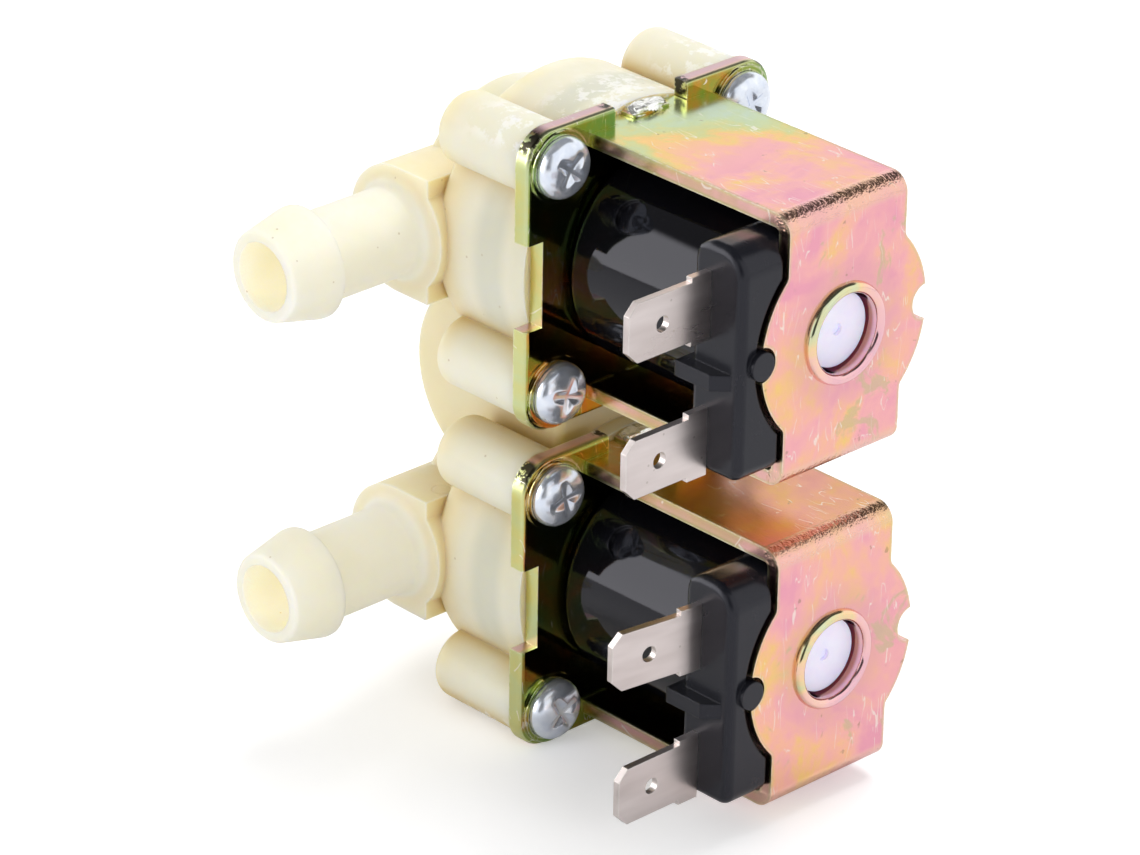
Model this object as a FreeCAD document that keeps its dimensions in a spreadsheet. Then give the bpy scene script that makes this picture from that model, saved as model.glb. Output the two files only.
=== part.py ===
"""Twin solenoid inlet valve of a washing machine, in millimetres.

Frame: the origin is where the inlet's axis meets the front face of its collar, which lies against the
machine's panel. The inlet's axis is Y and the hose screws on from +Y.
The two outlets point to -Y, the two solenoids to +X, and Z runs from the lower valve to the upper one.
"""
import FreeCAD, Part
import math
import os
import re
import Sketcher

# Driving dimensions: name, size, meaning
DIMENSIONS = [
    ("axis_reach", 21.0, "collar's front face to the valve axes"),
    ("face_reach", 14.5, "inlet axis to the front faces of the base plates"),
    ("seat_gap", 0.05, "gap round a piece that is pressed or screwed in"),
    ("plate_width", 33.6, "base plate, across the outlets' direction"),
    ("plate_height", 32.8, "base plate, along the valve pitch"),
    ("plates_apart", 3.4, "gap between the two base plates"),
    ("plate_thick", 1.8, "base plate sheet"),
    ("plate_corner", 3.5, "corner radius of the base plate"),
    ("plate_edge", 0.5, "rounding of the base plate's front edge"),
    ("waist_width", 9.4, "notch in the middle of each side of the base plate"),
    ("waist_depth", 2.2, "depth of that notch"),
    ("collar_width", 0.55, "raised ring round each screw head"),
    ("collar_rise", 0.3, "height of that ring"),
    ("screw_span_y", 25.2, "screw spacing along the outlets' direction"),
    ("screw_span_z", 24.7, "screw spacing along the valve pitch"),
    ("screw_radius", 1.75, "screw shank"),
    ("screw_length", 7.5, "screw shank, from under the head"),
    ("screw_point", 0.9, "flat end of the screw's point"),
    ("head_radius", 3.25, "pan head"),
    ("head_height", 2.3, "pan head"),
    ("head_round", 1.4, "rounding of the pan head"),
    ("recess_width", 0.9, "one slot of the cross recess"),
    ("recess_span", 3.6, "end to end of the cross recess"),
    ("recess_depth", 1.3, "depth of the cross recess"),
    ("yoke_width", 16.3, "width of the yoke strap"),
    ("yoke_height", 29.1, "over the two arms"),
    ("yoke_length", 27.7, "base plate to the outside of the yoke's end"),
    ("yoke_sheet", 1.5, "yoke sheet"),
    ("yoke_bend", 2.0, "outer bend radius"),
    ("yoke_inner_bend", 0.6, "inner bend radius"),
    ("belly_radius", 11.5, "round belly of the yoke's end"),
    ("belly_corner", 1.0, "rounding where the belly meets the strap"),
    ("pin_notch_radius", 1.9, "round notch in each side of the belly"),
    ("tongue_width", 9.6, "tongue that lies in the base plate's notch"),
    ("tongue_gap", 0.15, "gap on each side of the tongue"),
    ("stake_width", 5.0, "base plate's tab that is staked in the tongue"),
    ("stake_rise", 0.3, "staked tab above the tongue"),
    ("coil_gap", 1.65, "potted coil to the yoke's arms"),
    ("coil_edge", 1.2, "rounding of the coil's ends"),
    ("dimple_radius", 1.8, "shallow round mark on the coil's side"),
    ("dimple_depth", 0.45, "depth of that mark"),
    ("dimple_reach", 6.0, "base plate's front face to that mark"),
    ("dimple_angle", 42.5, "that mark, in degrees from the tabs' direction up"),
    ("coil_bore_gap", 0.25, "guide tube in the coil's bore and in the sleeve"),
    ("block_rise", 2.7, "coil's side to the face that the tabs stand on"),
    ("block_root", 6.0, "coil axis to the back of the terminal block"),
    ("block_spare", 0.75, "terminal block to the yoke's arms"),
    ("block_depth", 6.9, "terminal block along the coil"),
    ("block_setback", 0.3, "terminal block below the yoke's end face"),
    ("block_gap", 0.6, "terminal block to the yoke's end plate"),
    ("block_top_corner", 3.0, "upper front corner of the terminal block"),
    ("block_low_corner", 1.5, "lower front corner of the terminal block"),
    ("block_edge", 1.0, "rounding of the terminal block's face"),
    ("pin_radius", 1.5, "locating pin in the belly's notch"),
    ("pin_rise", 0.3, "locating pin above the yoke's end face"),
    ("pin_root", 2.5, "locating pin below the yoke's end face"),
    ("bar_rise", 1.5, "barrier between the tabs, above the block's face"),
    ("bar_height", 1.7, "barrier along the valve pitch"),
    ("bar_overhang", 0.6, "barrier past the block's rear side"),
    ("bar_length", 4.8, "straight part of the barrier"),
    ("tab_reach", 22.7, "base plate to the middle of the tabs"),
    ("top_tab_inset", 6.6, "block's upper side to the middle of the upper tab"),
    ("bottom_tab_inset", 3.4, "block's lower side to the middle of the lower tab"),
    ("blade_width", 6.3, "tab blade"),
    ("blade_thick", 0.8, "tab blade"),
    ("blade_length", 8.3, "shoulder to tip"),
    ("blade_chamfer", 1.2, "tip corners"),
    ("blade_hole_radius", 0.85, "hole in the blade"),
    ("blade_hole_reach", 4.5, "hole to tip"),
    ("shoulder_width", 7.3, "wide foot of the tab"),
    ("shoulder_length", 2.6, "foot, from the block's face to the shoulder"),
    ("stem_width", 4.0, "tab inside the block"),
    ("stem_length", 3.5, "tab inside the block"),
    ("tube_radius", 3.95, "guide tube"),
    ("tube_wall", 0.8, "guide tube"),
    ("tube_setback", 1.05, "tube end below the yoke's end face"),
    ("tube_end_wall", 1.2, "closed end of the guide tube"),
    ("tube_dimple_radius", 0.6, "gate mark in the tube's end"),
    ("tube_dimple_depth", 0.4, "gate mark in the tube's end"),
    ("bonnet_radius", 13.3, "flange of the guide tube"),
    ("bonnet_thick", 3.5, "flange of the guide tube"),
    ("bonnet_recess_radius", 8.9, "room for the pilot insert"),
    ("insert_spare", 0.4, "room above the lifted pilot insert"),
    ("sleeve_wall", 0.7, "flux sleeve"),
    ("sleeve_depth", 12.0, "flux sleeve inside the coil"),
    ("sleeve_rim", 0.65, "rolled rim, past the sleeve's wall"),
    ("sleeve_rise", 0.7, "rolled rim above the yoke"),
    ("sleeve_edge", 0.6, "rounding of the rolled rim"),
    ("plunger_gap", 0.07, "plunger in the guide tube, each side"),
    ("plunger_travel", 2.4, "lift of the plunger"),
    ("plunger_edge", 0.4, "edge of the plunger"),
    ("spring_pocket_radius", 2.0, "pocket in the plunger for the spring"),
    ("spring_pocket_depth", 8.0, "pocket in the plunger for the spring"),
    ("spring_radius", 1.45, "middle of the spring's wire"),
    ("spring_wire", 0.22, "radius of the spring's wire"),
    ("spring_pitch", 2.2, "spring at rest"),
    ("spring_runs", 12, "straight runs that stand for one turn of the spring"),
    ("spring_sides", 8, "flat sides that stand for its round wire"),
    ("tip_radius", 1.6, "rubber tip of the plunger"),
    ("tip_depth", 2.2, "rubber tip inside the plunger"),
    ("tip_rise", 0.3, "rubber tip past the plunger"),
    ("rim_thick", 2.2, "diaphragm rim"),
    ("rim_width", 2.4, "diaphragm rim"),
    ("web_thick", 0.8, "diaphragm web"),
    ("web_drop", 0.4, "top of the hub to the web"),
    ("hub_radius", 8.3, "diaphragm hub"),
    ("hub_thick", 1.6, "diaphragm hub"),
    ("hub_hole_radius", 2.6, "hole in the hub for the insert's stem"),
    ("seat_drop", 2.3, "seat below the diaphragm's ledge"),
    ("insert_radius", 7.9, "disc of the pilot insert"),
    ("insert_thick", 1.8, "disc of the pilot insert"),
    ("insert_lift", 1.8, "lift of the pilot insert"),
    ("nozzle_radius", 1.3, "pilot nozzle"),
    ("nozzle_height", 1.8, "pilot nozzle"),
    ("pilot_radius", 0.45, "pilot hole"),
    ("barb_grip", 0.7, "snap ring of the insert, past the hub's hole"),
    ("stem_reach", 3.4, "stem of the insert below the hub"),
    ("bleed_radius", 0.3, "bleed hole through insert and hub"),
    ("bleed_offset", 7.1, "bleed hole from the valve axis"),
    ("drum_inset", 2.14, "drum's side to the circle through its screws"),
    ("drum_depth", 15.0, "plate's front face to the drum's rear"),
    ("drum_edge", 0.8, "rounding of the drum's rear edge"),
    ("clamp_gap", 0.1, "bonnet and diaphragm in the drum"),
    ("chamber_radius", 10.2, "inside of the rear chamber"),
    ("chamber_wall", 1.6, "wall of the rear chamber"),
    ("chamber_floor", 2.0, "floor of the rear chamber"),
    ("chamber_depth", 22.3, "plate's front face to the chamber's rear"),
    ("chamber_edge", 1.0, "rounding of the chamber's rear edge"),
    ("seat_radius", 4.4, "bore of the seat tube"),
    ("seat_wall", 1.8, "wall of the seat tube"),
    ("boss_radius", 3.9, "screw boss"),
    ("boss_depth", 14.2, "plate's front face to the boss's end"),
    ("boss_edge", 1.3, "rounding of the boss's end"),
    ("screw_hole_spare", 0.6, "screw hole past the screw"),
    ("outlet_drop", 19.8, "plate's front face to the outlet axes"),
    ("outlet_block_radius", 6.85, "round side of the outlet block"),
    ("outlet_block_face", 16.5, "valve axis to the outlet block's end face"),
    ("outlet_block_back", 7.0, "outlet block past the valve axis"),
    ("spout_radius", 4.75, "outlet tube"),
    ("spout_root", 1.5, "rounding where the outlet tube leaves its block"),
    ("spout_bore", 3.65, "bore of the outlet"),
    ("spout_reach", 34.2, "valve axis to the outlet's tip"),
    ("barb_radius", 5.95, "crest of the hose barb"),
    ("barb_tip_radius", 4.8, "tip of the hose barb"),
    ("barb_length", 5.7, "hose barb"),
    ("barb_land", 0.4, "crest of the hose barb"),
    ("barb_edge", 0.5, "rounding of the barb's tip"),
    ("trunk_radius", 11.1, "central trunk"),
    ("trunk_reach", 8.45, "trunk past the valve axes"),
    ("trunk_edge", 0.8, "rounding of the trunk's closed end"),
    ("trunk_bore", 6.4, "inside of the trunk's deep end"),
    ("trunk_end_wall", 2.4, "closed end of the trunk"),
    ("port_radius", 5.0, "way from the trunk into the chambers"),
    ("port_wall", 0.4, "room between the port and the seat tube"),
    ("thread_radius", 13.2, "inlet thread, over its crests"),
    ("thread_length", 13.0, "inlet thread"),
    ("thread_chamfer", 1.2, "lead-in of the inlet thread"),
    ("collar_radius", 15.0, "collar behind the inlet thread"),
    ("collar_thick", 2.5, "collar behind the inlet thread"),
    ("mouth_radius", 10.0, "mouth of the inlet"),
    ("mouth_depth", 4.0, "mouth of the inlet, down to the strainer's ledge"),
    ("throat_radius", 9.0, "inlet behind the mouth"),
    ("throat_depth", 18.7, "end face to the flow limiter's ledge"),
    ("strainer_gap", 0.15, "strainer in the mouth"),
    ("strainer_flange", 1.2, "strainer flange"),
    ("strainer_radius", 8.2, "strainer cup, outside"),
    ("strainer_wall", 0.9, "strainer cup"),
    ("strainer_depth", 8.8, "strainer cup, behind its flange"),
    ("strainer_slots", 12, "slots round the strainer"),
    ("strainer_slot_width", 2.6, "slots round the strainer"),
    ("strainer_slot_end", 1.6, "solid part at each end of a slot"),
    ("grip_thick", 1.2, "finger grip inside the strainer"),
    ("grip_height", 5.0, "finger grip inside the strainer"),
    ("holder_thick", 2.4, "support of the flow washer"),
    ("holder_ways", 6, "holes through the support"),
    ("holder_way_radius", 1.5, "holes through the support"),
    ("holder_way_offset", 4.4, "holes from the inlet axis"),
    ("washer_radius", 8.2, "flow washer"),
    ("washer_thick", 3.2, "flow washer"),
    ("washer_hole", 2.6, "hole of the flow washer"),
    ("washer_funnel", 1.1, "lead-in of that hole"),
]

NAMES = {name for name, size, meaning in DIMENSIONS}
WORD = re.compile(r"[A-Za-z_][A-Za-z_0-9]*")

# Sizes that follow from others
HALF_PITCH = "((plate_height + plates_apart) / 2)"
COIL_RADIUS = "(yoke_height / 2 - yoke_sheet - coil_gap)"
BLOCK_FACE = "(" + COIL_RADIUS + " + block_rise)"
DRUM_RADIUS = "(sqrt(screw_span_y ^ 2 + screw_span_z ^ 2) / 2 - drum_inset)"
BLOCK_HALF = "(yoke_height / 2 - yoke_sheet - block_spare)"
TAB_LEVELS = {
    "top": "(" + BLOCK_HALF + " - top_tab_inset)",
    "bottom": "(bottom_tab_inset - " + BLOCK_HALF + ")",
}

# Places along a valve's axis, measured from the front face of its base plate
PLATE_BACK = "-plate_thick"
YOKE_INSIDE = "(yoke_length - yoke_sheet)"
BONNET_BOTTOM = "(-plate_thick - bonnet_thick)"
LEDGE = "(-plate_thick - bonnet_thick - rim_thick)"
SEAT = "(-plate_thick - bonnet_thick - rim_thick - seat_drop)"
HUB_TOP = "(" + SEAT + " + hub_thick)"
DISC_TOP = "(" + HUB_TOP + " + insert_thick)"
NOZZLE_TOP = "(" + DISC_TOP + " + nozzle_height)"
RECESS_TOP = "(" + DISC_TOP + " + insert_lift + insert_spare)"
PLUNGER_START = "(" + NOZZLE_TOP + " + tip_rise)"
TUBE_END = "(yoke_length - tube_setback)"
TUBE_CEILING = "(yoke_length - tube_setback - tube_end_wall)"
PLUNGER_END = "(" + TUBE_CEILING + " - plunger_travel)"
SPRING_SEAT = "(" + PLUNGER_END + " - spring_pocket_depth)"
TUBE_BORE = "(tube_radius - tube_wall)"
SLEEVE_BORE = "(tube_radius + coil_bore_gap)"
SLEEVE_OUTSIDE = "(tube_radius + coil_bore_gap + sleeve_wall)"
TONGUE_FLOOR = "(yoke_height / 2 - yoke_sheet)"
BLOCK_FRONT = "(yoke_length - block_setback)"
BLOCK_REAR = "(yoke_length - block_setback - block_depth)"
BAR_LEVEL = "((%s + %s) / 2)" % (TAB_LEVELS["top"], TAB_LEVELS["bottom"])
COLLAR_RADIUS = "(head_radius + collar_width)"

doc = FreeCAD.newDocument("inlet_valve")
sheet = doc.addObject("Spreadsheet::Sheet", "dims")
for row, (name, size, meaning) in enumerate(DIMENSIONS, start=1):
    sheet.set("A%d" % row, name)
    sheet.set("B%d" % row, str(size))
    sheet.set("C%d" % row, meaning)
    sheet.setAlias("B%d" % row, name)
doc.recompute()

finished = []


def linked(text):
    """The expression with each dimension's name pointing at the sheet."""
    return WORD.sub(lambda word: "dims." + word.group() if word.group() in NAMES else word.group(), str(text))


def size_of(text):
    """The expression's present value."""
    return float(sheet.evalExpression(linked(text)))


def bind(thing, path, text):
    thing.setExpression(path, linked(text))


def place(thing, x, y, z):
    """Binds the thing's place to three expressions."""
    for letter, text in zip("xyz", (x, y, z)):
        bind(thing, "Placement.Base." + letter, text)


def place_in_unit(thing, side, along="0"):
    """Puts a piece on the axis of the upper (side 1) or lower (side -1) valve."""
    place(thing, "face_reach + (%s)" % along, "-axis_reach", "%d * %s" % (side, HALF_PITCH))


def finish(thing, label):
    """Names a finished sub-part, so that it is checked and written out."""
    thing.Label = label
    finished.append(thing)
    return thing


# Bodies with sketches
def new_body(label):
    body = doc.addObject("PartDesign::Body", label)
    return finish(body, label)


def plane_of(body, role):
    return next(item for item in body.Origin.OriginFeatures if item.Role == role)


def new_sketch(body, name, role, offset="0"):
    """A sketch on one of the body's own planes, moved along the plane's normal."""
    sketch = body.newObject("Sketcher::SketchObject", name)
    sketch.AttachmentSupport = [(plane_of(body, role), "")]
    sketch.MapMode = "FlatFace"
    bind(sketch, "AttachmentOffset.Base.z", offset)
    return sketch


def pin_point(sketch, curve, end, point):
    """Ties one point of the sketch to a pair of expressions."""
    for kind, text, axis in (("DistanceX", point[0], -2), ("DistanceY", point[1], -1)):
        if text == "0":
            sketch.addConstraint(Sketcher.Constraint("PointOnObject", curve, end, axis))
        else:
            index = sketch.addConstraint(Sketcher.Constraint(kind, -1, 1, curve, end, size_of(text)))
            bind(sketch, "Constraints[%d]" % index, text)


def draw_outline(sketch, points):
    """A closed outline of straight lines through pairs of expressions."""
    first = sketch.GeometryCount
    corners = [FreeCAD.Vector(size_of(x), size_of(y), 0) for x, y in points]
    count = len(points)
    for index in range(count):
        sketch.addGeometry(Part.LineSegment(corners[index], corners[(index + 1) % count]), False)
    for index in range(count):
        following = first + (index + 1) % count
        sketch.addConstraint(Sketcher.Constraint("Coincident", first + index, 2, following, 1))
    for index in range(count):
        pin_point(sketch, first + index, 1, points[index])


def draw_circle(sketch, centre, radius):
    middle = FreeCAD.Vector(size_of(centre[0]), size_of(centre[1]), 0)
    circle = Part.Circle(middle, FreeCAD.Vector(0, 0, 1), size_of(radius))
    curve = sketch.addGeometry(circle, False)
    pin_point(sketch, curve, 3, centre)
    index = sketch.addConstraint(Sketcher.Constraint("Radius", curve, size_of(radius)))
    bind(sketch, "Constraints[%d]" % index, radius)


def box_outline(x_low, x_high, y_low, y_high):
    return [(x_low, y_low), (x_high, y_low), (x_high, y_high), (x_low, y_high)]


def pad(body, sketch, length, reverse=False, middle=False):
    feature = body.newObject("PartDesign::Pad", sketch.Name + "_pad")
    feature.Profile = sketch
    bind(feature, "Length", length)
    feature.Reversed = reverse
    feature.Midplane = middle
    doc.recompute()
    return feature


def pocket(body, sketch, length, reverse=False, middle=False):
    """Cuts the sketch out of the body, and makes sure that it does remove something."""
    before = body.Shape.Volume
    feature = body.newObject("PartDesign::Pocket", sketch.Name + "_pocket")
    feature.Profile = sketch
    bind(feature, "Length", length)
    feature.Reversed = reverse
    feature.Midplane = middle
    doc.recompute()
    if body.Shape.Volume >= before:
        raise RuntimeError(sketch.Name + " removes nothing")
    return feature


def revolve(body, sketch, axis):
    feature = body.newObject("PartDesign::Revolution", sketch.Name + "_turn")
    feature.Profile = sketch
    feature.ReferenceAxis = (sketch, [axis])
    feature.Angle = 360
    doc.recompute()
    return feature


def edges_where(shape, test):
    return ["Edge%d" % (index + 1) for index, edge in enumerate(shape.Edges) if test(edge)]


def fillet(body, base, radius, test):
    feature = body.newObject("PartDesign::Fillet", base.Name + "_fillet")
    feature.Base = (base, edges_where(base.Shape, test))
    bind(feature, "Radius", radius)
    doc.recompute()
    return feature


def chamfer(body, base, size, test):
    feature = body.newObject("PartDesign::Chamfer", base.Name + "_chamfer")
    feature.Base = (base, edges_where(base.Shape, test))
    bind(feature, "Size", size)
    doc.recompute()
    return feature


def runs_along(edge, letter):
    """Whether the edge is a straight line along the named axis."""
    if not isinstance(edge.Curve, Part.Line):
        return False
    return abs(getattr(edge.Curve.Direction, letter)) > 0.999


def near(first, second, reach=0.01):
    return abs(first - second) < reach


def flat_at(edge, letter, level):
    """Whether the whole edge lies in one plane across the named axis."""
    box = edge.BoundBox
    low = getattr(box, letter.upper() + "Min")
    high = getattr(box, letter.upper() + "Max")
    return near(low, level) and near(high, level)


def turned_piece(label, outline, role="XY_Plane", axis="H_Axis"):
    """A round piece from one half section, as pairs of (along the axis, away from it)."""
    body = new_body(label)
    sketch = new_sketch(body, label + "_section", role)
    draw_outline(sketch, outline)
    revolve(body, sketch, axis)
    return body


# Pieces of one solenoid unit; along the axis, 0 is the front face of the base plate
def make_base_plate(label, side):
    body = new_body(label)
    half_w, half_h = "plate_width / 2", "plate_height / 2"
    slot = "(tongue_width / 2 + tongue_gap)"
    stake = "stake_width / 2"
    tip = "(yoke_height / 2 + stake_rise)"
    waist_y, waist_z = "(plate_width / 2 - waist_depth)", "waist_width / 2"
    upper_right = [
        (stake, tip), (stake, TONGUE_FLOOR), (slot, TONGUE_FLOOR), (slot, half_h),
        (half_w, half_h), (half_w, waist_z), (waist_y, waist_z),
    ]
    lower_right = [(y, "-(%s)" % z) for y, z in reversed(upper_right)]
    lower_left = [("-(%s)" % y, "-(%s)" % z) for y, z in upper_right]
    upper_left = [("-(%s)" % y, z) for y, z in reversed(upper_right)]
    sketch = new_sketch(body, label + "_outline", "YZ_Plane")
    draw_outline(sketch, upper_right + lower_right + lower_left + upper_left)
    blank = pad(body, sketch, "plate_thick", reverse=True)

    width, height = size_of(half_w), size_of(half_h)
    rounded = fillet(body, blank, "plate_corner", lambda edge: runs_along(edge, "x")
                     and near(abs(edge.CenterOfMass.y), width) and near(abs(edge.CenterOfMass.z), height))
    fillet(body, rounded, "plate_edge", lambda edge: flat_at(edge, "x", 0)
           and (near(abs(edge.CenterOfMass.y), width) or near(abs(edge.CenterOfMass.z), height)))

    collars = new_sketch(body, label + "_collars", "YZ_Plane")
    for y_side in (1, -1):
        for z_side in (1, -1):
            centre = ("%d * screw_span_y / 2" % y_side, "%d * screw_span_z / 2" % z_side)
            draw_circle(collars, centre, COLLAR_RADIUS)
            draw_circle(collars, centre, "head_radius + seat_gap")
    pad(body, collars, "collar_rise")

    holes = new_sketch(body, label + "_holes", "YZ_Plane", "plate_thick")
    draw_circle(holes, ("0", "0"), "tube_radius + coil_bore_gap")
    for y_side in (1, -1):
        for z_side in (1, -1):
            centre = ("%d * screw_span_y / 2" % y_side, "%d * screw_span_z / 2" % z_side)
            draw_circle(holes, centre, "screw_radius + seat_gap")
    pocket(body, holes, "3 * plate_thick")
    place_in_unit(body, side)


def make_yoke(label, side):
    body = new_body(label)
    top, inner = "yoke_height / 2", TONGUE_FLOOR
    strap = new_sketch(body, label + "_strap", "XZ_Plane")
    draw_outline(strap, [
        ("0", top), ("yoke_length", top), ("yoke_length", "-(%s)" % top), ("0", "-(%s)" % top),
        ("0", "-" + inner), (YOKE_INSIDE, "-" + inner), (YOKE_INSIDE, inner), ("0", inner),
    ])
    bent = pad(body, strap, "yoke_width", middle=True)
    length, inside, height = size_of("yoke_length"), size_of(YOKE_INSIDE), size_of(top)
    bent = fillet(body, bent, "yoke_bend", lambda edge: runs_along(edge, "y")
                  and near(edge.CenterOfMass.x, length) and near(abs(edge.CenterOfMass.z), height))
    bent = fillet(body, bent, "yoke_inner_bend", lambda edge: runs_along(edge, "y")
                  and near(edge.CenterOfMass.x, inside))

    belly = new_sketch(body, label + "_belly", "YZ_Plane", YOKE_INSIDE)
    draw_circle(belly, ("0", "0"), "belly_radius")
    bellied = pad(body, belly, "yoke_sheet")
    meet = math.sqrt(size_of("belly_radius") ** 2 - size_of("yoke_width / 2") ** 2)
    fillet(body, bellied, "belly_corner", lambda edge: runs_along(edge, "x")
           and near(abs(edge.CenterOfMass.z), meet, 0.05) and edge.CenterOfMass.x > inside - 0.01)

    for level in (1, -1):
        fork = new_sketch(body, "%s_tongue_%s" % (label, "top" if level > 0 else "bottom"), "XY_Plane",
                          "%d * (yoke_height / 2 - yoke_sheet / 2)" % level)
        half, stake, rooted = "tongue_width / 2", "(stake_width / 2 + seat_gap)", "yoke_sheet / 2"
        draw_outline(fork, [
            (rooted, "-" + half), (PLATE_BACK, "-" + half), (PLATE_BACK, "-" + stake), ("0", "-" + stake),
            ("0", stake), (PLATE_BACK, stake), (PLATE_BACK, half), (rooted, half),
        ])
        pad(body, fork, "yoke_sheet", middle=True)

    cuts = new_sketch(body, label + "_cuts", "YZ_Plane", "yoke_length + yoke_sheet")
    draw_circle(cuts, ("0", "0"), SLEEVE_OUTSIDE + " + seat_gap")
    for y_side in (1, -1):
        draw_circle(cuts, ("%d * belly_radius" % y_side, "0"), "pin_notch_radius")
    pocket(body, cuts, "3 * yoke_sheet")
    place_in_unit(body, side)


def make_coil(label, side):
    body = new_body(label)
    winding = new_sketch(body, label + "_section", "XY_Plane")
    sleeve_start = "(%s - sleeve_depth)" % YOKE_INSIDE
    draw_outline(winding, [
        ("0", SLEEVE_BORE), ("0", COIL_RADIUS), (YOKE_INSIDE, COIL_RADIUS),
        (YOKE_INSIDE, SLEEVE_OUTSIDE + " + seat_gap"), (sleeve_start, SLEEVE_OUTSIDE + " + seat_gap"),
        (sleeve_start, SLEEVE_BORE),
    ])
    turned = revolve(body, winding, "H_Axis")
    radius = size_of(COIL_RADIUS)
    fillet(body, turned, "coil_edge", lambda edge: isinstance(edge.Curve, Part.Circle)
           and near(edge.Curve.Radius, radius))

    block = new_sketch(body, label + "_block", "XZ_Plane", BLOCK_FACE)
    draw_outline(block, box_outline(BLOCK_REAR, BLOCK_FRONT, "-" + BLOCK_HALF, BLOCK_HALF))
    tower = pad(body, block, BLOCK_FACE + " - block_root", reverse=True)
    front, face, height = size_of(BLOCK_FRONT), size_of(BLOCK_FACE), size_of(BLOCK_HALF)
    for radius, level in (("block_top_corner", height), ("block_low_corner", -height)):
        tower = fillet(body, tower, radius, lambda edge: runs_along(edge, "y")
                       and near(edge.CenterOfMass.x, front) and near(edge.CenterOfMass.z, level))
    fillet(body, tower, "block_edge", lambda edge: flat_at(edge, "y", -face))

    relief = new_sketch(body, label + "_relief", "YZ_Plane", YOKE_INSIDE)
    draw_circle(relief, ("0", "0"), "belly_radius + block_gap")
    pocket(body, relief, "2 * yoke_sheet", reverse=True)
    strap = new_sketch(body, label + "_strap_relief", "YZ_Plane", YOKE_INSIDE)
    half = "(yoke_width / 2 + block_gap)"
    draw_outline(strap, box_outline("-" + half, half, "-" + BLOCK_HALF, BLOCK_HALF))
    pocket(body, strap, "2 * yoke_sheet", reverse=True)

    pin = new_sketch(body, label + "_pin", "YZ_Plane", "yoke_length + pin_rise")
    draw_circle(pin, ("-belly_radius", "0"), "pin_radius")
    pad(body, pin, "pin_rise + pin_root", reverse=True)

    bar = new_sketch(body, label + "_bar", "XY_Plane", BAR_LEVEL)
    start = "(%s - bar_overhang)" % BLOCK_REAR
    crest, root = "-(%s + bar_rise)" % BLOCK_FACE, "-(%s - bar_overhang - block_edge)" % BLOCK_FACE
    draw_outline(bar, [
        (start, root), (start, crest), (start + " + bar_length", crest),
        (start + " + bar_length + bar_rise", "-" + BLOCK_FACE), (start + " + bar_length + bar_rise", root),
    ])
    pad(body, bar, "bar_height", middle=True)

    dimple = new_sketch(body, label + "_dimple", "XZ_Plane", COIL_RADIUS + " * cos(dimple_angle * 1 deg)")
    tilt = FreeCAD.Rotation(FreeCAD.Vector(-1, 0, 0), size_of("dimple_angle"))
    dimple.AttachmentOffset = FreeCAD.Placement(FreeCAD.Vector(), tilt)
    bind(dimple, "AttachmentOffset.Rotation.Angle", "dimple_angle * 1 deg")
    bind(dimple, "AttachmentOffset.Base.y", COIL_RADIUS + " * sin(dimple_angle * 1 deg)")
    draw_circle(dimple, ("dimple_reach", "0"), "dimple_radius")
    pocket(body, dimple, "dimple_depth")

    slots = new_sketch(body, label + "_slots", "XZ_Plane", BLOCK_FACE)
    for level in TAB_LEVELS.values():
        draw_outline(slots, box_outline(
            "tab_reach - blade_thick / 2", "tab_reach + blade_thick / 2",
            level + " - stem_width / 2", level + " + stem_width / 2"))
    pocket(body, slots, "stem_length")
    place_in_unit(body, side)


def make_tab(label, side, level):
    """A blade terminal; its sketch plane is across the coil axis."""
    body = new_body(label)
    sketch = new_sketch(body, label + "_blade", "YZ_Plane")
    blade, foot, stem = "blade_width / 2", "shoulder_width / 2", "stem_width / 2"
    shoulder = "(%s + shoulder_length)" % BLOCK_FACE
    tip = "(%s + shoulder_length + blade_length)" % BLOCK_FACE
    half = [
        ("-(%s - stem_length)" % BLOCK_FACE, stem), ("-" + BLOCK_FACE, stem), ("-" + BLOCK_FACE, foot),
        ("-" + shoulder, foot), ("-" + shoulder, blade),
        ("-(%s - blade_chamfer)" % tip, blade), ("-" + tip, blade + " - blade_chamfer"),
    ]
    other = [(y, "-(%s)" % z) for y, z in reversed(half)]
    draw_outline(sketch, half + other)
    pad(body, sketch, "blade_thick", middle=True)
    hole = new_sketch(body, label + "_hole", "YZ_Plane", "blade_thick")
    draw_circle(hole, ("-(%s - blade_hole_reach)" % tip, "0"), "blade_hole_radius")
    pocket(body, hole, "2 * blade_thick")
    place(body, "face_reach + tab_reach", "-axis_reach", "%d * %s + %s" % (side, HALF_PITCH, level))


def make_guide_tube(label, side):
    body = turned_piece(label, [
        (TUBE_END, "0"), (TUBE_END, "tube_radius"), (PLATE_BACK, "tube_radius"),
        (PLATE_BACK, "bonnet_radius"), (BONNET_BOTTOM, "bonnet_radius"),
        (BONNET_BOTTOM, "bonnet_recess_radius"),
        (RECESS_TOP, "bonnet_recess_radius"), (RECESS_TOP, TUBE_BORE), (TUBE_CEILING, TUBE_BORE),
        (TUBE_CEILING, "0"),
    ])
    dimple = new_sketch(body, label + "_dimple", "YZ_Plane", TUBE_END)
    draw_circle(dimple, ("0", "0"), "tube_dimple_radius")
    pocket(body, dimple, "tube_dimple_depth")
    place_in_unit(body, side)


def make_flux_sleeve(label, side):
    start, rim = "(%s - sleeve_depth)" % YOKE_INSIDE, "(%s + sleeve_rim)" % SLEEVE_OUTSIDE
    top = "(yoke_length + sleeve_rise)"
    body = turned_piece(label, [
        (start, SLEEVE_BORE), (start, SLEEVE_OUTSIDE), ("yoke_length", SLEEVE_OUTSIDE), ("yoke_length", rim),
        (top, rim), (top, SLEEVE_BORE),
    ])
    level = size_of(top)
    fillet(body, body.Tip, "sleeve_edge", lambda edge: flat_at(edge, "x", level))
    place_in_unit(body, side)


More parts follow.
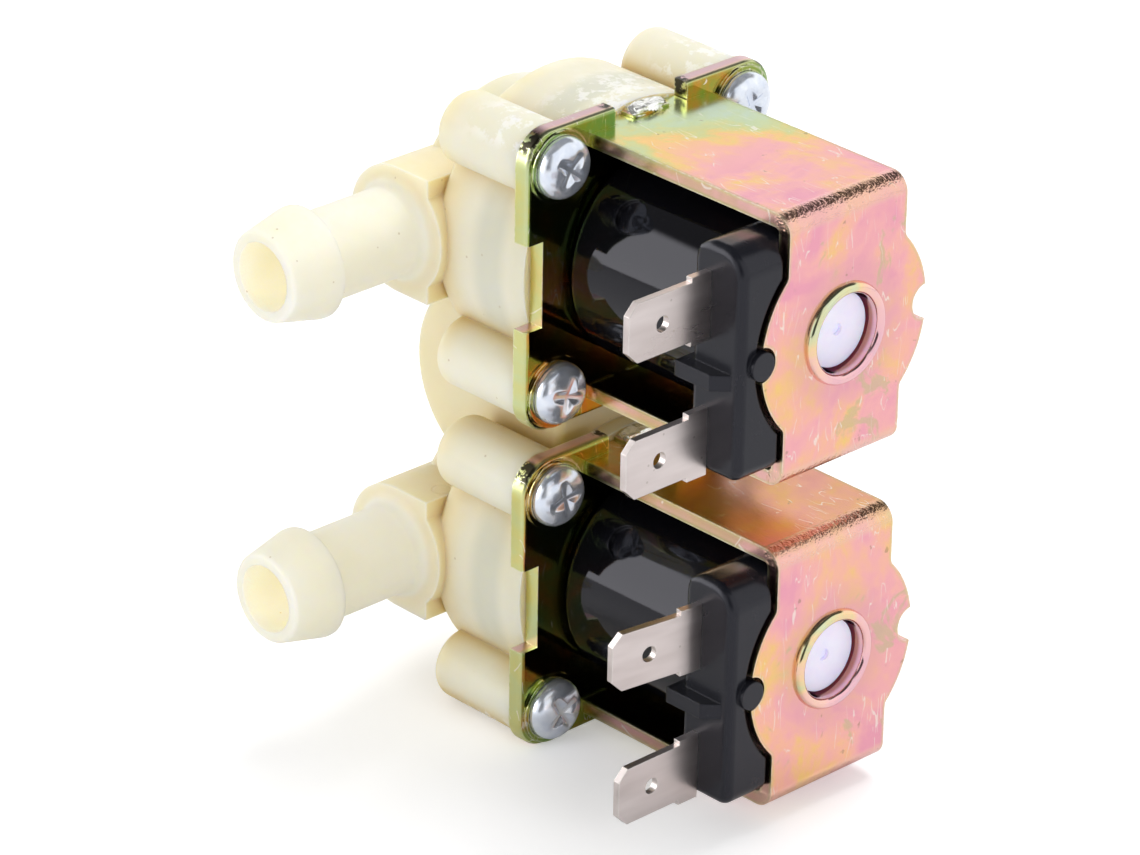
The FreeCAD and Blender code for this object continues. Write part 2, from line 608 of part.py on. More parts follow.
def make_plunger(label, side):
    radius = "(%s - plunger_gap)" % TUBE_BORE
    tip_floor = "(%s + tip_depth)" % PLUNGER_START
    body = turned_piece(label, [
        (PLUNGER_START, "tip_radius"), (PLUNGER_START, radius), (PLUNGER_END, radius),
        (PLUNGER_END, "spring_pocket_radius"), (SPRING_SEAT, "spring_pocket_radius"), (SPRING_SEAT, "0"),
        (tip_floor, "0"), (tip_floor, "tip_radius"),
    ])
    outside = size_of(radius)
    chamfer(body, body.Tip, "plunger_edge", lambda edge: isinstance(edge.Curve, Part.Circle)
            and near(edge.Curve.Radius, outside))
    place_in_unit(body, side)


def make_plunger_tip(label, side):
    body = turned_piece(label, [
        (NOZZLE_TOP, "0"), (NOZZLE_TOP, "tip_radius - seat_gap"),
        (PLUNGER_START + " + tip_depth", "tip_radius - seat_gap"), (PLUNGER_START + " + tip_depth", "0"),
    ])
    place_in_unit(body, side)


def make_spring(label, side):
    """A coil of round wire between the plunger's pocket and the tube's closed end."""
    radius, pitch = size_of("spring_radius"), size_of("spring_pitch")
    height = size_of("%s - %s - 2 * spring_wire" % (TUBE_CEILING, SPRING_SEAT))
    runs = round(height / pitch * size_of("spring_runs"))
    corners = []
    for index in range(runs + 1):
        rise = height * index / runs
        angle = 2 * math.pi * rise / pitch
        corners.append(FreeCAD.Vector(radius * math.cos(angle), radius * math.sin(angle), rise))
    spine = doc.addObject("Part::Polygon", label + "_line")
    spine.Nodes = corners
    wire = doc.addObject("Part::RegularPolygon", label + "_wire")
    bind(wire, "Polygon", "spring_sides")
    bind(wire, "Circumradius", "spring_wire")
    wire.Placement = FreeCAD.Placement(FreeCAD.Vector(), FreeCAD.Rotation(FreeCAD.Vector(1, 0, 0), 90))
    place(wire, "spring_radius", "0", "0")
    sweep = doc.addObject("Part::Sweep", label)
    sweep.Sections = [wire]
    sweep.Spine = (spine, ["Edge%d" % (index + 1) for index in range(runs)])
    sweep.Solid = True
    sweep.Transition = "Right corner"
    sweep.Placement = FreeCAD.Placement(FreeCAD.Vector(), FreeCAD.Rotation(FreeCAD.Vector(0, 1, 0), 90))
    place_in_unit(finish(sweep, label), side, "%s + spring_wire" % SPRING_SEAT)


def make_diaphragm(label, side):
    rim_inside = "(bonnet_radius - rim_width)"
    rise = "(%s + rim_thick / 2 + web_thick / 2)" % LEDGE
    drop = "(%s + rim_thick / 2 - web_thick / 2)" % LEDGE
    hub_rise, hub_drop = "(%s - web_drop)" % HUB_TOP, "(%s - web_drop - web_thick)" % HUB_TOP
    body = turned_piece(label, [
        (SEAT, "hub_hole_radius"), (SEAT, "hub_radius"), (hub_drop, "hub_radius"), (drop, rim_inside),
        (LEDGE, rim_inside), (LEDGE, "bonnet_radius"), (BONNET_BOTTOM, "bonnet_radius"),
        (BONNET_BOTTOM, rim_inside), (rise, rim_inside), (hub_rise, "hub_radius"), (HUB_TOP, "hub_radius"),
        (HUB_TOP, "hub_hole_radius"),
    ])
    bleed = new_sketch(body, label + "_bleed", "YZ_Plane", HUB_TOP)
    draw_circle(bleed, ("0", "bleed_offset"), "bleed_radius")
    pocket(body, bleed, "hub_thick")
    place_in_unit(body, side)


def make_pilot_insert(label, side):
    stem, grip = "(hub_hole_radius - seat_gap)", "(hub_hole_radius + barb_grip)"
    end = "(%s - stem_reach)" % SEAT
    body = turned_piece(label, [
        (NOZZLE_TOP, "pilot_radius"), (NOZZLE_TOP, "nozzle_radius"), (DISC_TOP, "nozzle_radius"),
        (DISC_TOP, "insert_radius"), (HUB_TOP, "insert_radius"), (HUB_TOP, stem), (SEAT, stem), (SEAT, grip),
        (SEAT + " - barb_grip", stem), (end, stem), (end, "pilot_radius"),
    ])
    bleed = new_sketch(body, label + "_bleed", "YZ_Plane", DISC_TOP)
    draw_circle(bleed, ("0", "bleed_offset"), "bleed_radius")
    pocket(body, bleed, "insert_thick")
    place_in_unit(body, side)


def make_screws(label, side):
    """Four pan-head screws with a cross recess, as one group of separate solids."""
    body = doc.addObject("PartDesign::Body", label + "_master")
    head = new_sketch(body, label + "_section", "XY_Plane")
    draw_outline(head, [
        ("-screw_length", "0"), ("-screw_length", "screw_point"),
        ("-screw_length + screw_radius", "screw_radius"), ("0", "screw_radius"), ("0", "head_radius"),
        ("head_height", "head_radius"), ("head_height", "0"),
    ])
    turned = revolve(body, head, "H_Axis")
    crown = size_of("head_height")
    fillet(body, turned, "head_round", lambda edge: flat_at(edge, "x", crown))
    cross = new_sketch(body, label + "_cross", "YZ_Plane", "head_height")
    arm, slot = "recess_span / 2", "recess_width / 2"
    draw_outline(cross, [
        (arm, slot), (slot, slot), (slot, arm), ("-" + slot, arm), ("-" + slot, slot), ("-" + arm, slot),
        ("-" + arm, "-" + slot), ("-" + slot, "-" + slot), ("-" + slot, "-" + arm), (slot, "-" + arm),
        (slot, "-" + slot), (arm, "-" + slot),
    ])
    pocket(body, cross, "recess_depth")
    place(body, "0", "screw_span_y / 2", "screw_span_z / 2")
    doc.recompute()

    across = doc.addObject("Part::Mirroring", label + "_across")
    across.Source = body
    across.Normal = FreeCAD.Vector(0, 1, 0)
    below = [doc.addObject("Part::Mirroring", "%s_below_%d" % (label, index)) for index in range(2)]
    for mirror, source in zip(below, (body, across)):
        mirror.Source = source
        mirror.Normal = FreeCAD.Vector(0, 0, 1)
    group = doc.addObject("Part::Compound", label)
    group.Links = [body, across] + below
    place_in_unit(finish(group, label), side)


def make_unit(word, side):
    make_base_plate(word + "_base_plate", side)
    make_yoke(word + "_yoke", side)
    make_coil(word + "_coil", side)
    for end, level in TAB_LEVELS.items():
        make_tab("%s_%s_tab" % (word, end), side, level)
    make_guide_tube(word + "_guide_tube", side)
    make_flux_sleeve(word + "_flux_sleeve", side)
    make_plunger(word + "_plunger", side)
    make_plunger_tip(word + "_plunger_tip", side)
    make_spring(word + "_plunger_spring", side)
    make_diaphragm(word + "_diaphragm", side)
    make_pilot_insert(word + "_pilot_insert", side)
    make_screws(word + "_screws", side)


# The moulded body, from plain solids
TURNS = {
    "x": FreeCAD.Rotation(FreeCAD.Vector(0, 1, 0), 90),
    "y": FreeCAD.Rotation(FreeCAD.Vector(1, 0, 0), -90),
    "z": FreeCAD.Rotation(),
}


def rod(name, axis, radius, length, x, y, z):
    """A cylinder that starts at the place and runs along +axis."""
    solid = doc.addObject("Part::Cylinder", name)
    bind(solid, "Radius", radius)
    bind(solid, "Height", length)
    solid.Placement = FreeCAD.Placement(FreeCAD.Vector(), TURNS[axis])
    place(solid, x, y, z)
    return solid


def taper(name, axis, radius, far_radius, length, x, y, z):
    solid = doc.addObject("Part::Cone", name)
    bind(solid, "Radius1", radius)
    bind(solid, "Radius2", far_radius)
    bind(solid, "Height", length)
    solid.Placement = FreeCAD.Placement(FreeCAD.Vector(), TURNS[axis])
    place(solid, x, y, z)
    return solid


def brick(name, x_size, y_size, z_size, x, y, z):
    solid = doc.addObject("Part::Box", name)
    bind(solid, "Length", x_size)
    bind(solid, "Width", y_size)
    bind(solid, "Height", z_size)
    place(solid, x, y, z)
    return solid


def fused(name, solids):
    union = doc.addObject("Part::MultiFuse", name)
    union.Shapes = solids
    union.Refine = True
    return union


def cut(name, base, tool):
    difference = doc.addObject("Part::Cut", name)
    difference.Base = base
    difference.Tool = tool
    return difference


def softened(name, solid, radius, test):
    """The solid with the chosen edges rounded."""
    doc.recompute()
    amount = size_of(radius)
    soft = doc.addObject("Part::Fillet", name)
    soft.Base = solid
    soft.Edges = [(index + 1, amount, amount) for index, edge in enumerate(solid.Shape.Edges) if test(edge)]
    return soft


def round_edge(letter, level):
    """Picks the round edge at one place along the named axis."""
    place_there = size_of(level)
    return lambda edge: isinstance(edge.Curve, Part.Circle) and flat_at(edge, letter, place_there)


def corner_name(start, y_side, z_side):
    """A name for what sits at one of a valve's four corners."""
    return "_".join([start, "front" if y_side < 0 else "back", "bottom" if z_side < 0 else "top"])


def valve_outside(word, side):
    """Drum, rear chamber, bosses, outlet block and barb of one valve."""
    axis_y, axis_z = "-axis_reach", "%d * %s" % (side, HALF_PITCH)
    drum_rear, chamber_rear = "face_reach - drum_depth", "face_reach - chamber_depth"
    boss_rear, outlet_x = "face_reach - boss_depth", "face_reach - outlet_drop"
    drum = rod(word + "_drum", "x", DRUM_RADIUS, "drum_depth - plate_thick", drum_rear, axis_y, axis_z)
    chamber = rod(word + "_chamber", "x", "chamber_radius + chamber_wall",
                  "chamber_depth - plate_thick", chamber_rear, axis_y, axis_z)
    solids = [
        softened(word + "_soft_drum", drum, "drum_edge", round_edge("x", drum_rear)),
        softened(word + "_soft_chamber", chamber, "chamber_edge", round_edge("x", chamber_rear)),
    ]
    for y_side in (1, -1):
        for z_side in (1, -1):
            name = corner_name(word + "_boss", y_side, z_side)
            boss = rod(name, "x", "boss_radius", "boss_depth - plate_thick", boss_rear,
                       "%s + %d * screw_span_y / 2" % (axis_y, y_side),
                       "%s + %d * screw_span_z / 2" % (axis_z, z_side))
            solids.append(softened(name + "_soft", boss, "boss_edge", round_edge("x", boss_rear)))

    face = "-axis_reach - outlet_block_face"
    block_length = "outlet_block_face + outlet_block_back"
    tip, crest = "-axis_reach - spout_reach", "-axis_reach - spout_reach + barb_length - barb_land"
    spout_length = "spout_reach - outlet_block_face - barb_length + barb_land"
    outlet = fused(word + "_outlet", [
        rod(word + "_outlet_round", "y", "outlet_block_radius", block_length, outlet_x, face, axis_z),
        brick(word + "_outlet_square", "outlet_drop - drum_depth", block_length, "2 * outlet_block_radius",
              outlet_x, face, axis_z + " - outlet_block_radius"),
        rod(word + "_spout", "y", "spout_radius", spout_length, outlet_x, crest, axis_z),
    ])
    at_face, spout_radius = round_edge("y", face), size_of("spout_radius")
    solids.append(softened(word + "_soft_outlet", outlet, "spout_root",
                           lambda edge: at_face(edge) and near(edge.Curve.Radius, spout_radius)))
    barb = taper(word + "_barb", "y", "barb_tip_radius", "barb_radius", "barb_length - barb_land",
                 outlet_x, tip, axis_z)
    solids.append(softened(word + "_soft_barb", barb, "barb_edge", round_edge("y", tip)))
    solids.append(rod(word + "_barb_crest", "y", "barb_radius", "barb_land", outlet_x, crest, axis_z))
    return solids


def valve_inside(word, side):
    """Everything that is hollow in one valve."""
    axis_y, axis_z = "-axis_reach", "%d * %s" % (side, HALF_PITCH)
    outlet_x, floor_x = "face_reach - outlet_drop", "face_reach - chamber_depth + chamber_floor"
    ledge, seat = "face_reach + " + LEDGE, "face_reach + " + SEAT
    hollow = rod(word + "_chamber_hollow", "x", "chamber_radius",
                 "%s - %s" % (ledge, "(" + floor_x + ")"), floor_x, axis_y, axis_z)
    seat_tube = rod(word + "_seat_tube", "x", "seat_radius + seat_wall",
                    "%s - (%s)" % (seat, floor_x), floor_x, axis_y, axis_z)
    crossing = rod(word + "_crossing", "y", "spout_bore + seat_wall", "chamber_radius + seat_wall",
                   outlet_x, "-axis_reach - chamber_radius - seat_wall", axis_z)
    standing = fused(word + "_standing", [seat_tube, crossing])
    open_rooms = [cut(word + "_ring_room", hollow, standing)]
    open_rooms.append(rod(word + "_drum_hollow", "x", "bonnet_radius + clamp_gap",
                          "plate_thick + bonnet_thick + rim_thick", ledge, axis_y, axis_z))
    open_rooms.append(rod(word + "_seat_bore", "x", "seat_radius", "%s - (%s)" % (seat, outlet_x),
                          outlet_x, axis_y, axis_z))
    open_rooms.append(rod(word + "_outlet_bore", "y", "spout_bore", "spout_reach + seat_radius",
                          outlet_x, "-axis_reach - spout_reach", axis_z))
    hole = "screw_length - plate_thick + screw_hole_spare"
    for y_side in (1, -1):
        for z_side in (1, -1):
            name = corner_name(word + "_screw_hole", y_side, z_side)
            open_rooms.append(rod(name, "x", "screw_radius + seat_gap", hole,
                                  "face_reach - screw_length - screw_hole_spare",
                                  "%s + %d * screw_span_y / 2" % (axis_y, y_side),
                                  "%s + %d * screw_span_z / 2" % (axis_z, z_side)))
    return open_rooms


def make_valve_body():
    trunk_start = "-axis_reach - trunk_reach"
    trunk = rod("trunk", "y", "trunk_radius", "axis_reach + trunk_reach", "0", trunk_start, "0")
    thread = rod("thread", "y", "thread_radius", "thread_length - thread_chamfer", "0", "0", "0")
    lead = taper("thread_lead", "y", "thread_radius", "thread_radius - thread_chamfer", "thread_chamfer",
                 "0", "thread_length - thread_chamfer", "0")
    collar = rod("collar", "y", "collar_radius", "collar_thick", "0", "-collar_thick", "0")
    outside = [
        softened("soft_trunk", trunk, "trunk_edge", round_edge("y", trunk_start)), thread, lead, collar,
    ]
    inside = [
        rod("mouth", "y", "mouth_radius", "mouth_depth", "0", "thread_length - mouth_depth", "0"),
        rod("throat", "y", "throat_radius", "throat_depth", "0", "thread_length - throat_depth", "0"),
        rod("deep_end", "y", "trunk_bore", "axis_reach + trunk_reach - trunk_end_wall", "0",
            trunk_start + " + trunk_end_wall", "0"),
    ]
    port = "(%s - seat_radius - seat_wall - port_wall)" % HALF_PITCH
    inside.append(rod("port", "z", "port_radius", "2 * " + port, "0", "-axis_reach", "-" + port))
    for word, side in (("upper", 1), ("lower", -1)):
        outside += valve_outside(word, side)
        inside += valve_inside(word, side)
    finish(cut("valve_body", fused("body_outside", outside), fused("body_inside", inside)), "valve_body")


# What sits in the inlet; turned about Y, so a section is (away from the axis, along it)
def make_strainer():
    body = new_body("inlet_strainer")
    section = new_sketch(body, "strainer_section", "XY_Plane")
    seat = "(thread_length - mouth_depth)"
    flange_top, bottom = seat + " + strainer_flange", "(%s - strainer_depth)" % seat
    draw_outline(section, [
        ("0", bottom), ("strainer_radius", bottom), ("strainer_radius", seat),
        ("mouth_radius - strainer_gap", seat), ("mouth_radius - strainer_gap", flange_top),
        ("strainer_radius - strainer_wall", flange_top),
        ("strainer_radius - strainer_wall", bottom + " + strainer_wall"), ("0", bottom + " + strainer_wall"),
    ])
    revolve(body, section, "V_Axis")
    slot = new_sketch(body, "strainer_slot", "YZ_Plane", "strainer_radius + strainer_wall")
    draw_outline(slot, box_outline(bottom + " + strainer_slot_end", seat + " - strainer_slot_end",
                                   "-strainer_slot_width / 2", "strainer_slot_width / 2"))
    window = pocket(body, slot, "3 * strainer_wall")
    ring = body.newObject("PartDesign::PolarPattern", "strainer_windows")
    ring.Originals = [window]
    ring.Axis = (plane_of(body, "Y_Axis"), [""])
    ring.Angle = 360
    bind(ring, "Occurrences", "strainer_slots")
    body.Tip = ring
    doc.recompute()
    grip = new_sketch(body, "strainer_grip", "XY_Plane")
    reach = "(strainer_radius - strainer_wall / 2)"
    foot, top = bottom + " + strainer_wall / 2", bottom + " + grip_height"
    draw_outline(grip, box_outline("-" + reach, reach, foot, top))
    pad(body, grip, "grip_thick", middle=True)


def make_flow_limiter():
    """The rubber washer that evens the flow, and the plate that it lies on."""
    ledge = "(thread_length - throat_depth)"
    start, edge = "(%s + holder_thick)" % ledge, "throat_radius - seat_gap"
    holder = turned_piece("flow_washer_holder", [
        ("0", ledge), (edge, ledge), (edge, start), ("0", start),
    ], axis="V_Axis")
    way = new_sketch(holder, "holder_way", "XZ_Plane", "-" + ledge)
    draw_circle(way, ("0", "holder_way_offset"), "holder_way_radius")
    first = pocket(holder, way, "2 * holder_thick", middle=True)
    ring = holder.newObject("PartDesign::PolarPattern", "holder_way_ring")
    ring.Originals = [first]
    ring.Axis = (plane_of(holder, "Y_Axis"), [""])
    ring.Angle = 360
    bind(ring, "Occurrences", "holder_ways")
    holder.Tip = ring
    doc.recompute()

    turned_piece("flow_washer", [
        ("washer_hole", start), ("washer_radius", start), ("washer_radius", start + " + washer_thick"),
        ("washer_hole + washer_funnel", start + " + washer_thick"),
        ("washer_hole", start + " + washer_thick - washer_funnel"),
    ], axis="V_Axis")


def check_document():
    """Stops if any object failed, or if a sub-part's shape isn't sound."""
    doc.recompute()
    for thing in doc.Objects:
        if {"Invalid", "Error"} & set(thing.State):
            raise RuntimeError("%s failed: %s" % (thing.Name, thing.State))
    for thing in finished:
        if thing.Shape.isNull() or not thing.Shape.isValid() or not thing.Shape.Solids:
            raise RuntimeError("%s has no sound shape" % thing.Label)


def write_parts():
    os.makedirs("parts", exist_ok=True)
    for thing in finished:
        thing.Shape.exportStep("parts/%s.step" % thing.Label)
        box = thing.Shape.BoundBox
        print("%-24s solids %d  volume %9.1f mm3  size %.1f x %.1f x %.1f" % (
            thing.Label, len(thing.Shape.Solids), thing.Shape.Volume, box.XLength, box.YLength, box.ZLength))


make_valve_body()
make_strainer()
make_flow_limiter()
make_unit("upper", 1)
make_unit("lower", -1)
check_document()
write_parts()
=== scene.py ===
"""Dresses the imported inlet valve: materials, fine shapes, light and camera. Metres, in the row frame."""
import bmesh
import bpy
import math
from mathutils import Matrix, Vector


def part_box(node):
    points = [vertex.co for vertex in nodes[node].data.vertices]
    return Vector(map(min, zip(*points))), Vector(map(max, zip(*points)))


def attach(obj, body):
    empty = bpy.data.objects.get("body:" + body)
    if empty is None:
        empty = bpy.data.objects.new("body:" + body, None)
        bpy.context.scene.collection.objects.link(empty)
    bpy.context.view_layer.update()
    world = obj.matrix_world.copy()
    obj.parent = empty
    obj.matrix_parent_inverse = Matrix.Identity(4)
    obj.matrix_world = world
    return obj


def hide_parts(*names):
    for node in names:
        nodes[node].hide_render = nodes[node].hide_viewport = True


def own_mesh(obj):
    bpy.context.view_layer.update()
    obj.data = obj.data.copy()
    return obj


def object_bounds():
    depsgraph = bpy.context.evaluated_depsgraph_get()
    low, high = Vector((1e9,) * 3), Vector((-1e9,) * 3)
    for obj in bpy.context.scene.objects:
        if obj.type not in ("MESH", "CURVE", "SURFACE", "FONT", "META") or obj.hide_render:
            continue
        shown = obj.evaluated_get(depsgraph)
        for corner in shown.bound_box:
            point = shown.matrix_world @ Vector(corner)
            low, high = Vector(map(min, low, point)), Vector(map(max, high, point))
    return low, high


MM = 0.001
SIDES = {"upper": 1, "lower": -1}

# Places and sizes that the solids give
PLATE_FACE_X = 14.5 * MM
VALVE_Y = -21.0 * MM
VALVE_Z = 18.1 * MM
OUTLET_X = -5.3 * MM

# The photograph's camera
CAMERA_PLACE = Vector((0.38893, -0.38945, 0.25521))
CAMERA_RIGHT = Vector((0.685504, 0.727908, 0.015321))
CAMERA_UP = Vector((-0.330172, 0.292045, 0.897606))
CAMERA_LENS_MM = 180.18
SENSOR_MM = 36.0

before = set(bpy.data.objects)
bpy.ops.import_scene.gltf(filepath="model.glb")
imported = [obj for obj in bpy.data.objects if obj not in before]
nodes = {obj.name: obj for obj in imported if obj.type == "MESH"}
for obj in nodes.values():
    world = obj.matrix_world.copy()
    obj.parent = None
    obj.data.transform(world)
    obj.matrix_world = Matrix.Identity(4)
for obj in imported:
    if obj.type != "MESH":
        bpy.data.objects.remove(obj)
cad_low, cad_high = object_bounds()


def add_camera():
    data = bpy.data.cameras.new("photo_camera")
    data.lens = CAMERA_LENS_MM
    data.sensor_width = SENSOR_MM
    data.clip_start = 0.01
    data.clip_end = 20
    camera = bpy.data.objects.new("photo_camera", data)
    right = CAMERA_RIGHT.normalized()
    back = right.cross(CAMERA_UP).normalized()
    turn = Matrix((right, back.cross(right), back)).transposed().to_4x4()
    camera.matrix_world = Matrix.Translation(CAMERA_PLACE) @ turn
    bpy.context.collection.objects.link(camera)
    bpy.context.scene.camera = camera


class Shader:
    """A principled material whose nodes are made one call at a time."""

    def __init__(self, name, rough=0.4, metal=0.0):
        self.material = bpy.data.materials.new(name)
        self.material.use_nodes = True
        self.tree = self.material.node_tree
        self.tree.nodes.clear()
        output = self.tree.nodes.new("ShaderNodeOutputMaterial")
        self.surface = self.tree.nodes.new("ShaderNodeBsdfPrincipled")
        self.tree.links.new(self.surface.outputs["BSDF"], output.inputs["Surface"])
        self.surface.inputs["Roughness"].default_value = rough
        self.surface.inputs["Metallic"].default_value = metal
        self.place = self.tree.nodes.new("ShaderNodeTexCoord").outputs["Object"]
        self.bumps = None

    def give(self, socket, value):
        """Sets a socket to a number or colour, or links it to another socket."""
        if isinstance(value, bpy.types.NodeSocket):
            self.tree.links.new(value, socket)
        elif isinstance(value, tuple) and len(value) == 3 and socket.type == "RGBA":
            socket.default_value = (*value, 1.0)
        else:
            socket.default_value = value

    def set(self, name, value):
        self.give(self.surface.inputs[name], value)

    def calc(self, operation, *values):
        node = self.tree.nodes.new("ShaderNodeMath")
        node.operation = operation
        for socket, value in zip(node.inputs, values):
            self.give(socket, value)
        return node.outputs["Value"]

    def times(self, first, *others):
        """The product of two values or more."""
        for value in others:
            first = self.calc("MULTIPLY", first, value)
        return first

    def clamp(self, value):
        node = self.tree.nodes.new("ShaderNodeClamp")
        self.give(node.inputs["Value"], value)
        return node.outputs["Result"]

    def fade(self, value, low, high):
        """0 below low, 1 above high, smooth between."""
        node = self.tree.nodes.new("ShaderNodeMapRange")
        node.interpolation_type = "SMOOTHSTEP"
        for name, number in (("Value", value), ("From Min", low), ("From Max", high)):
            self.give(node.inputs[name], number)
        return node.outputs["Result"]

    def mix(self, share, first, second, blend="MIX"):
        node = self.tree.nodes.new("ShaderNodeMix")
        node.data_type = "RGBA"
        node.blend_type = blend
        for index, value in ((0, share), (6, first), (7, second)):
            self.give(node.inputs[index], value)
        return node.outputs[2]

    def moved(self, offset=(0, 0, 0), scale=(1, 1, 1), turn=(0, 0, 0)):
        node = self.tree.nodes.new("ShaderNodeMapping")
        self.give(node.inputs["Vector"], self.place)
        node.inputs["Location"].default_value = offset
        node.inputs["Scale"].default_value = scale
        node.inputs["Rotation"].default_value = turn
        return node.outputs["Vector"]

    def noise(self, scale, detail=2.0, rough=0.5, place=None, warp=0.0):
        node = self.tree.nodes.new("ShaderNodeTexNoise")
        self.give(node.inputs["Vector"], place or self.place)
        settings = {"Scale": scale, "Detail": detail, "Roughness": rough, "Distortion": warp}
        for name, value in settings.items():
            node.inputs[name].default_value = value
        return node.outputs["Fac"]

    def dots(self, scale, size, place=None):
        """1 inside small scattered dots."""
        node = self.tree.nodes.new("ShaderNodeTexVoronoi")
        self.give(node.inputs["Vector"], place or self.place)
        node.inputs["Scale"].default_value = scale
        return self.calc("LESS_THAN", node.outputs["Distance"], size)

    def ramp(self, value, stops):
        node = self.tree.nodes.new("ShaderNodeValToRGB")
        self.give(node.inputs["Fac"], value)
        marks = node.color_ramp.elements
        while len(marks) < len(stops):
            marks.new(0.5)
        for mark, (position, colour) in zip(marks, stops):
            mark.position = position
            mark.color = (*colour, 1.0)
        return node.outputs["Color"]

    def axis(self, letter):
        node = self.tree.nodes.new("ShaderNodeSeparateXYZ")
        self.give(node.inputs["Vector"], self.place)
        return node.outputs[letter.upper()]

    def facing(self, letter):
        """1 on faces that look either way along an axis."""
        node = self.tree.nodes.new("ShaderNodeSeparateXYZ")
        geometry = self.tree.nodes.new("ShaderNodeNewGeometry")
        self.give(node.inputs["Vector"], geometry.outputs["True Normal"])
        return self.fade(self.calc("ABSOLUTE", node.outputs[letter.upper()]), 0.85, 0.97)

    def off_level(self, letter, level):
        """How far a point is from a level along one axis, either way."""
        return self.calc("ABSOLUTE", self.calc("SUBTRACT", self.axis(letter), level))

    def off_axis(self, letter, level):
        """Distance from a line at a level of one axis and at the height of the nearer valve."""
        above = self.calc("SUBTRACT", self.off_level("z", 0), VALVE_Z)
        aside = self.calc("POWER", self.off_level(letter, level), 2.0)
        return self.calc("SQRT", self.calc("ADD", aside, self.times(above, above)))

    def distance(self, point):
        node = self.tree.nodes.new("ShaderNodeVectorMath")
        node.operation = "DISTANCE"
        self.give(node.inputs[0], self.place)
        node.inputs[1].default_value = point
        return node.outputs["Value"]

    def edges(self, radius, gain):
        """Rises towards 1 on sharp edges."""
        soft = self.tree.nodes.new("ShaderNodeBevel")
        soft.samples = 3
        soft.inputs["Radius"].default_value = radius
        true = self.tree.nodes.new("ShaderNodeNewGeometry")
        node = self.tree.nodes.new("ShaderNodeVectorMath")
        node.operation = "DOT_PRODUCT"
        self.give(node.inputs[0], soft.outputs["Normal"])
        self.give(node.inputs[1], true.outputs["Normal"])
        return self.clamp(self.times(self.calc("SUBTRACT", 1.0, node.outputs["Value"]), gain))

    def round_edges(self, radius):
        """Shades sharp edges as if they were rounded."""
        node = self.tree.nodes.new("ShaderNodeBevel")
        node.samples = 3
        node.inputs["Radius"].default_value = radius
        self.bumps = node.outputs["Normal"]
        self.set("Normal", self.bumps)

    def bump(self, height, strength, distance):
        node = self.tree.nodes.new("ShaderNodeBump")
        node.inputs["Strength"].default_value = strength
        node.inputs["Distance"].default_value = distance
        self.give(node.inputs["Height"], height)
        if self.bumps:
            self.give(node.inputs["Normal"], self.bumps)
        self.bumps = node.outputs["Normal"]
        self.set("Normal", self.bumps)

    def hollows(self, reach):
        """1 in the open, less in corners."""
        node = self.tree.nodes.new("ShaderNodeAmbientOcclusion")
        node.samples = 4
        node.inputs["Distance"].default_value = reach
        return node.outputs["AO"]


# Nylon: places on the moulding, and colours
EJECTOR_MARK = Vector((-1.74, -34.15, -11.25)) * MM
EJECTOR_RADIUS = 1.05 * MM
BARB_SPECKS = ((-9.1, -47.9, 20.9), (-4.1, -48.0, 13.2), (-2.9, -49.6, 14.0))
SPECK_RADIUS = 0.30 * MM
SPOUT_START = (-37.0 * MM, -38.0 * MM)
BLOCK_START = (-26.0 * MM, -32.0 * MM)
BORE_EDGE = (4.3 * MM, 4.0 * MM)
BORE_GLOW = 0.75
CREAM_CLOUDS = ((0.30, (0.84, 0.77, 0.54)), (0.52, (0.89, 0.83, 0.66)), (0.72, (0.91, 0.87, 0.76)))
DIAPHRAGM_SHADOW = (0.49, 0.52, 0.45)
DRUM_PAINTED_SHADE = (0.73, 0.72, 0.60)
BLOCK_PAINTED_SHADE = (0.87, 0.76, 0.46)
SPOUT_PAINTED_LIGHT = (0.95, 0.94, 0.86)
CORNER_PAINTED_SHADE = (0.70, 0.54, 0.24)
EDGE_PAINTED_GLOW = (0.97, 0.95, 0.84)
POWDER = (0.95, 0.93, 0.90)
GRIME = (0.40, 0.28, 0.12)
SPECK = (0.16, 0.06, 0.02)


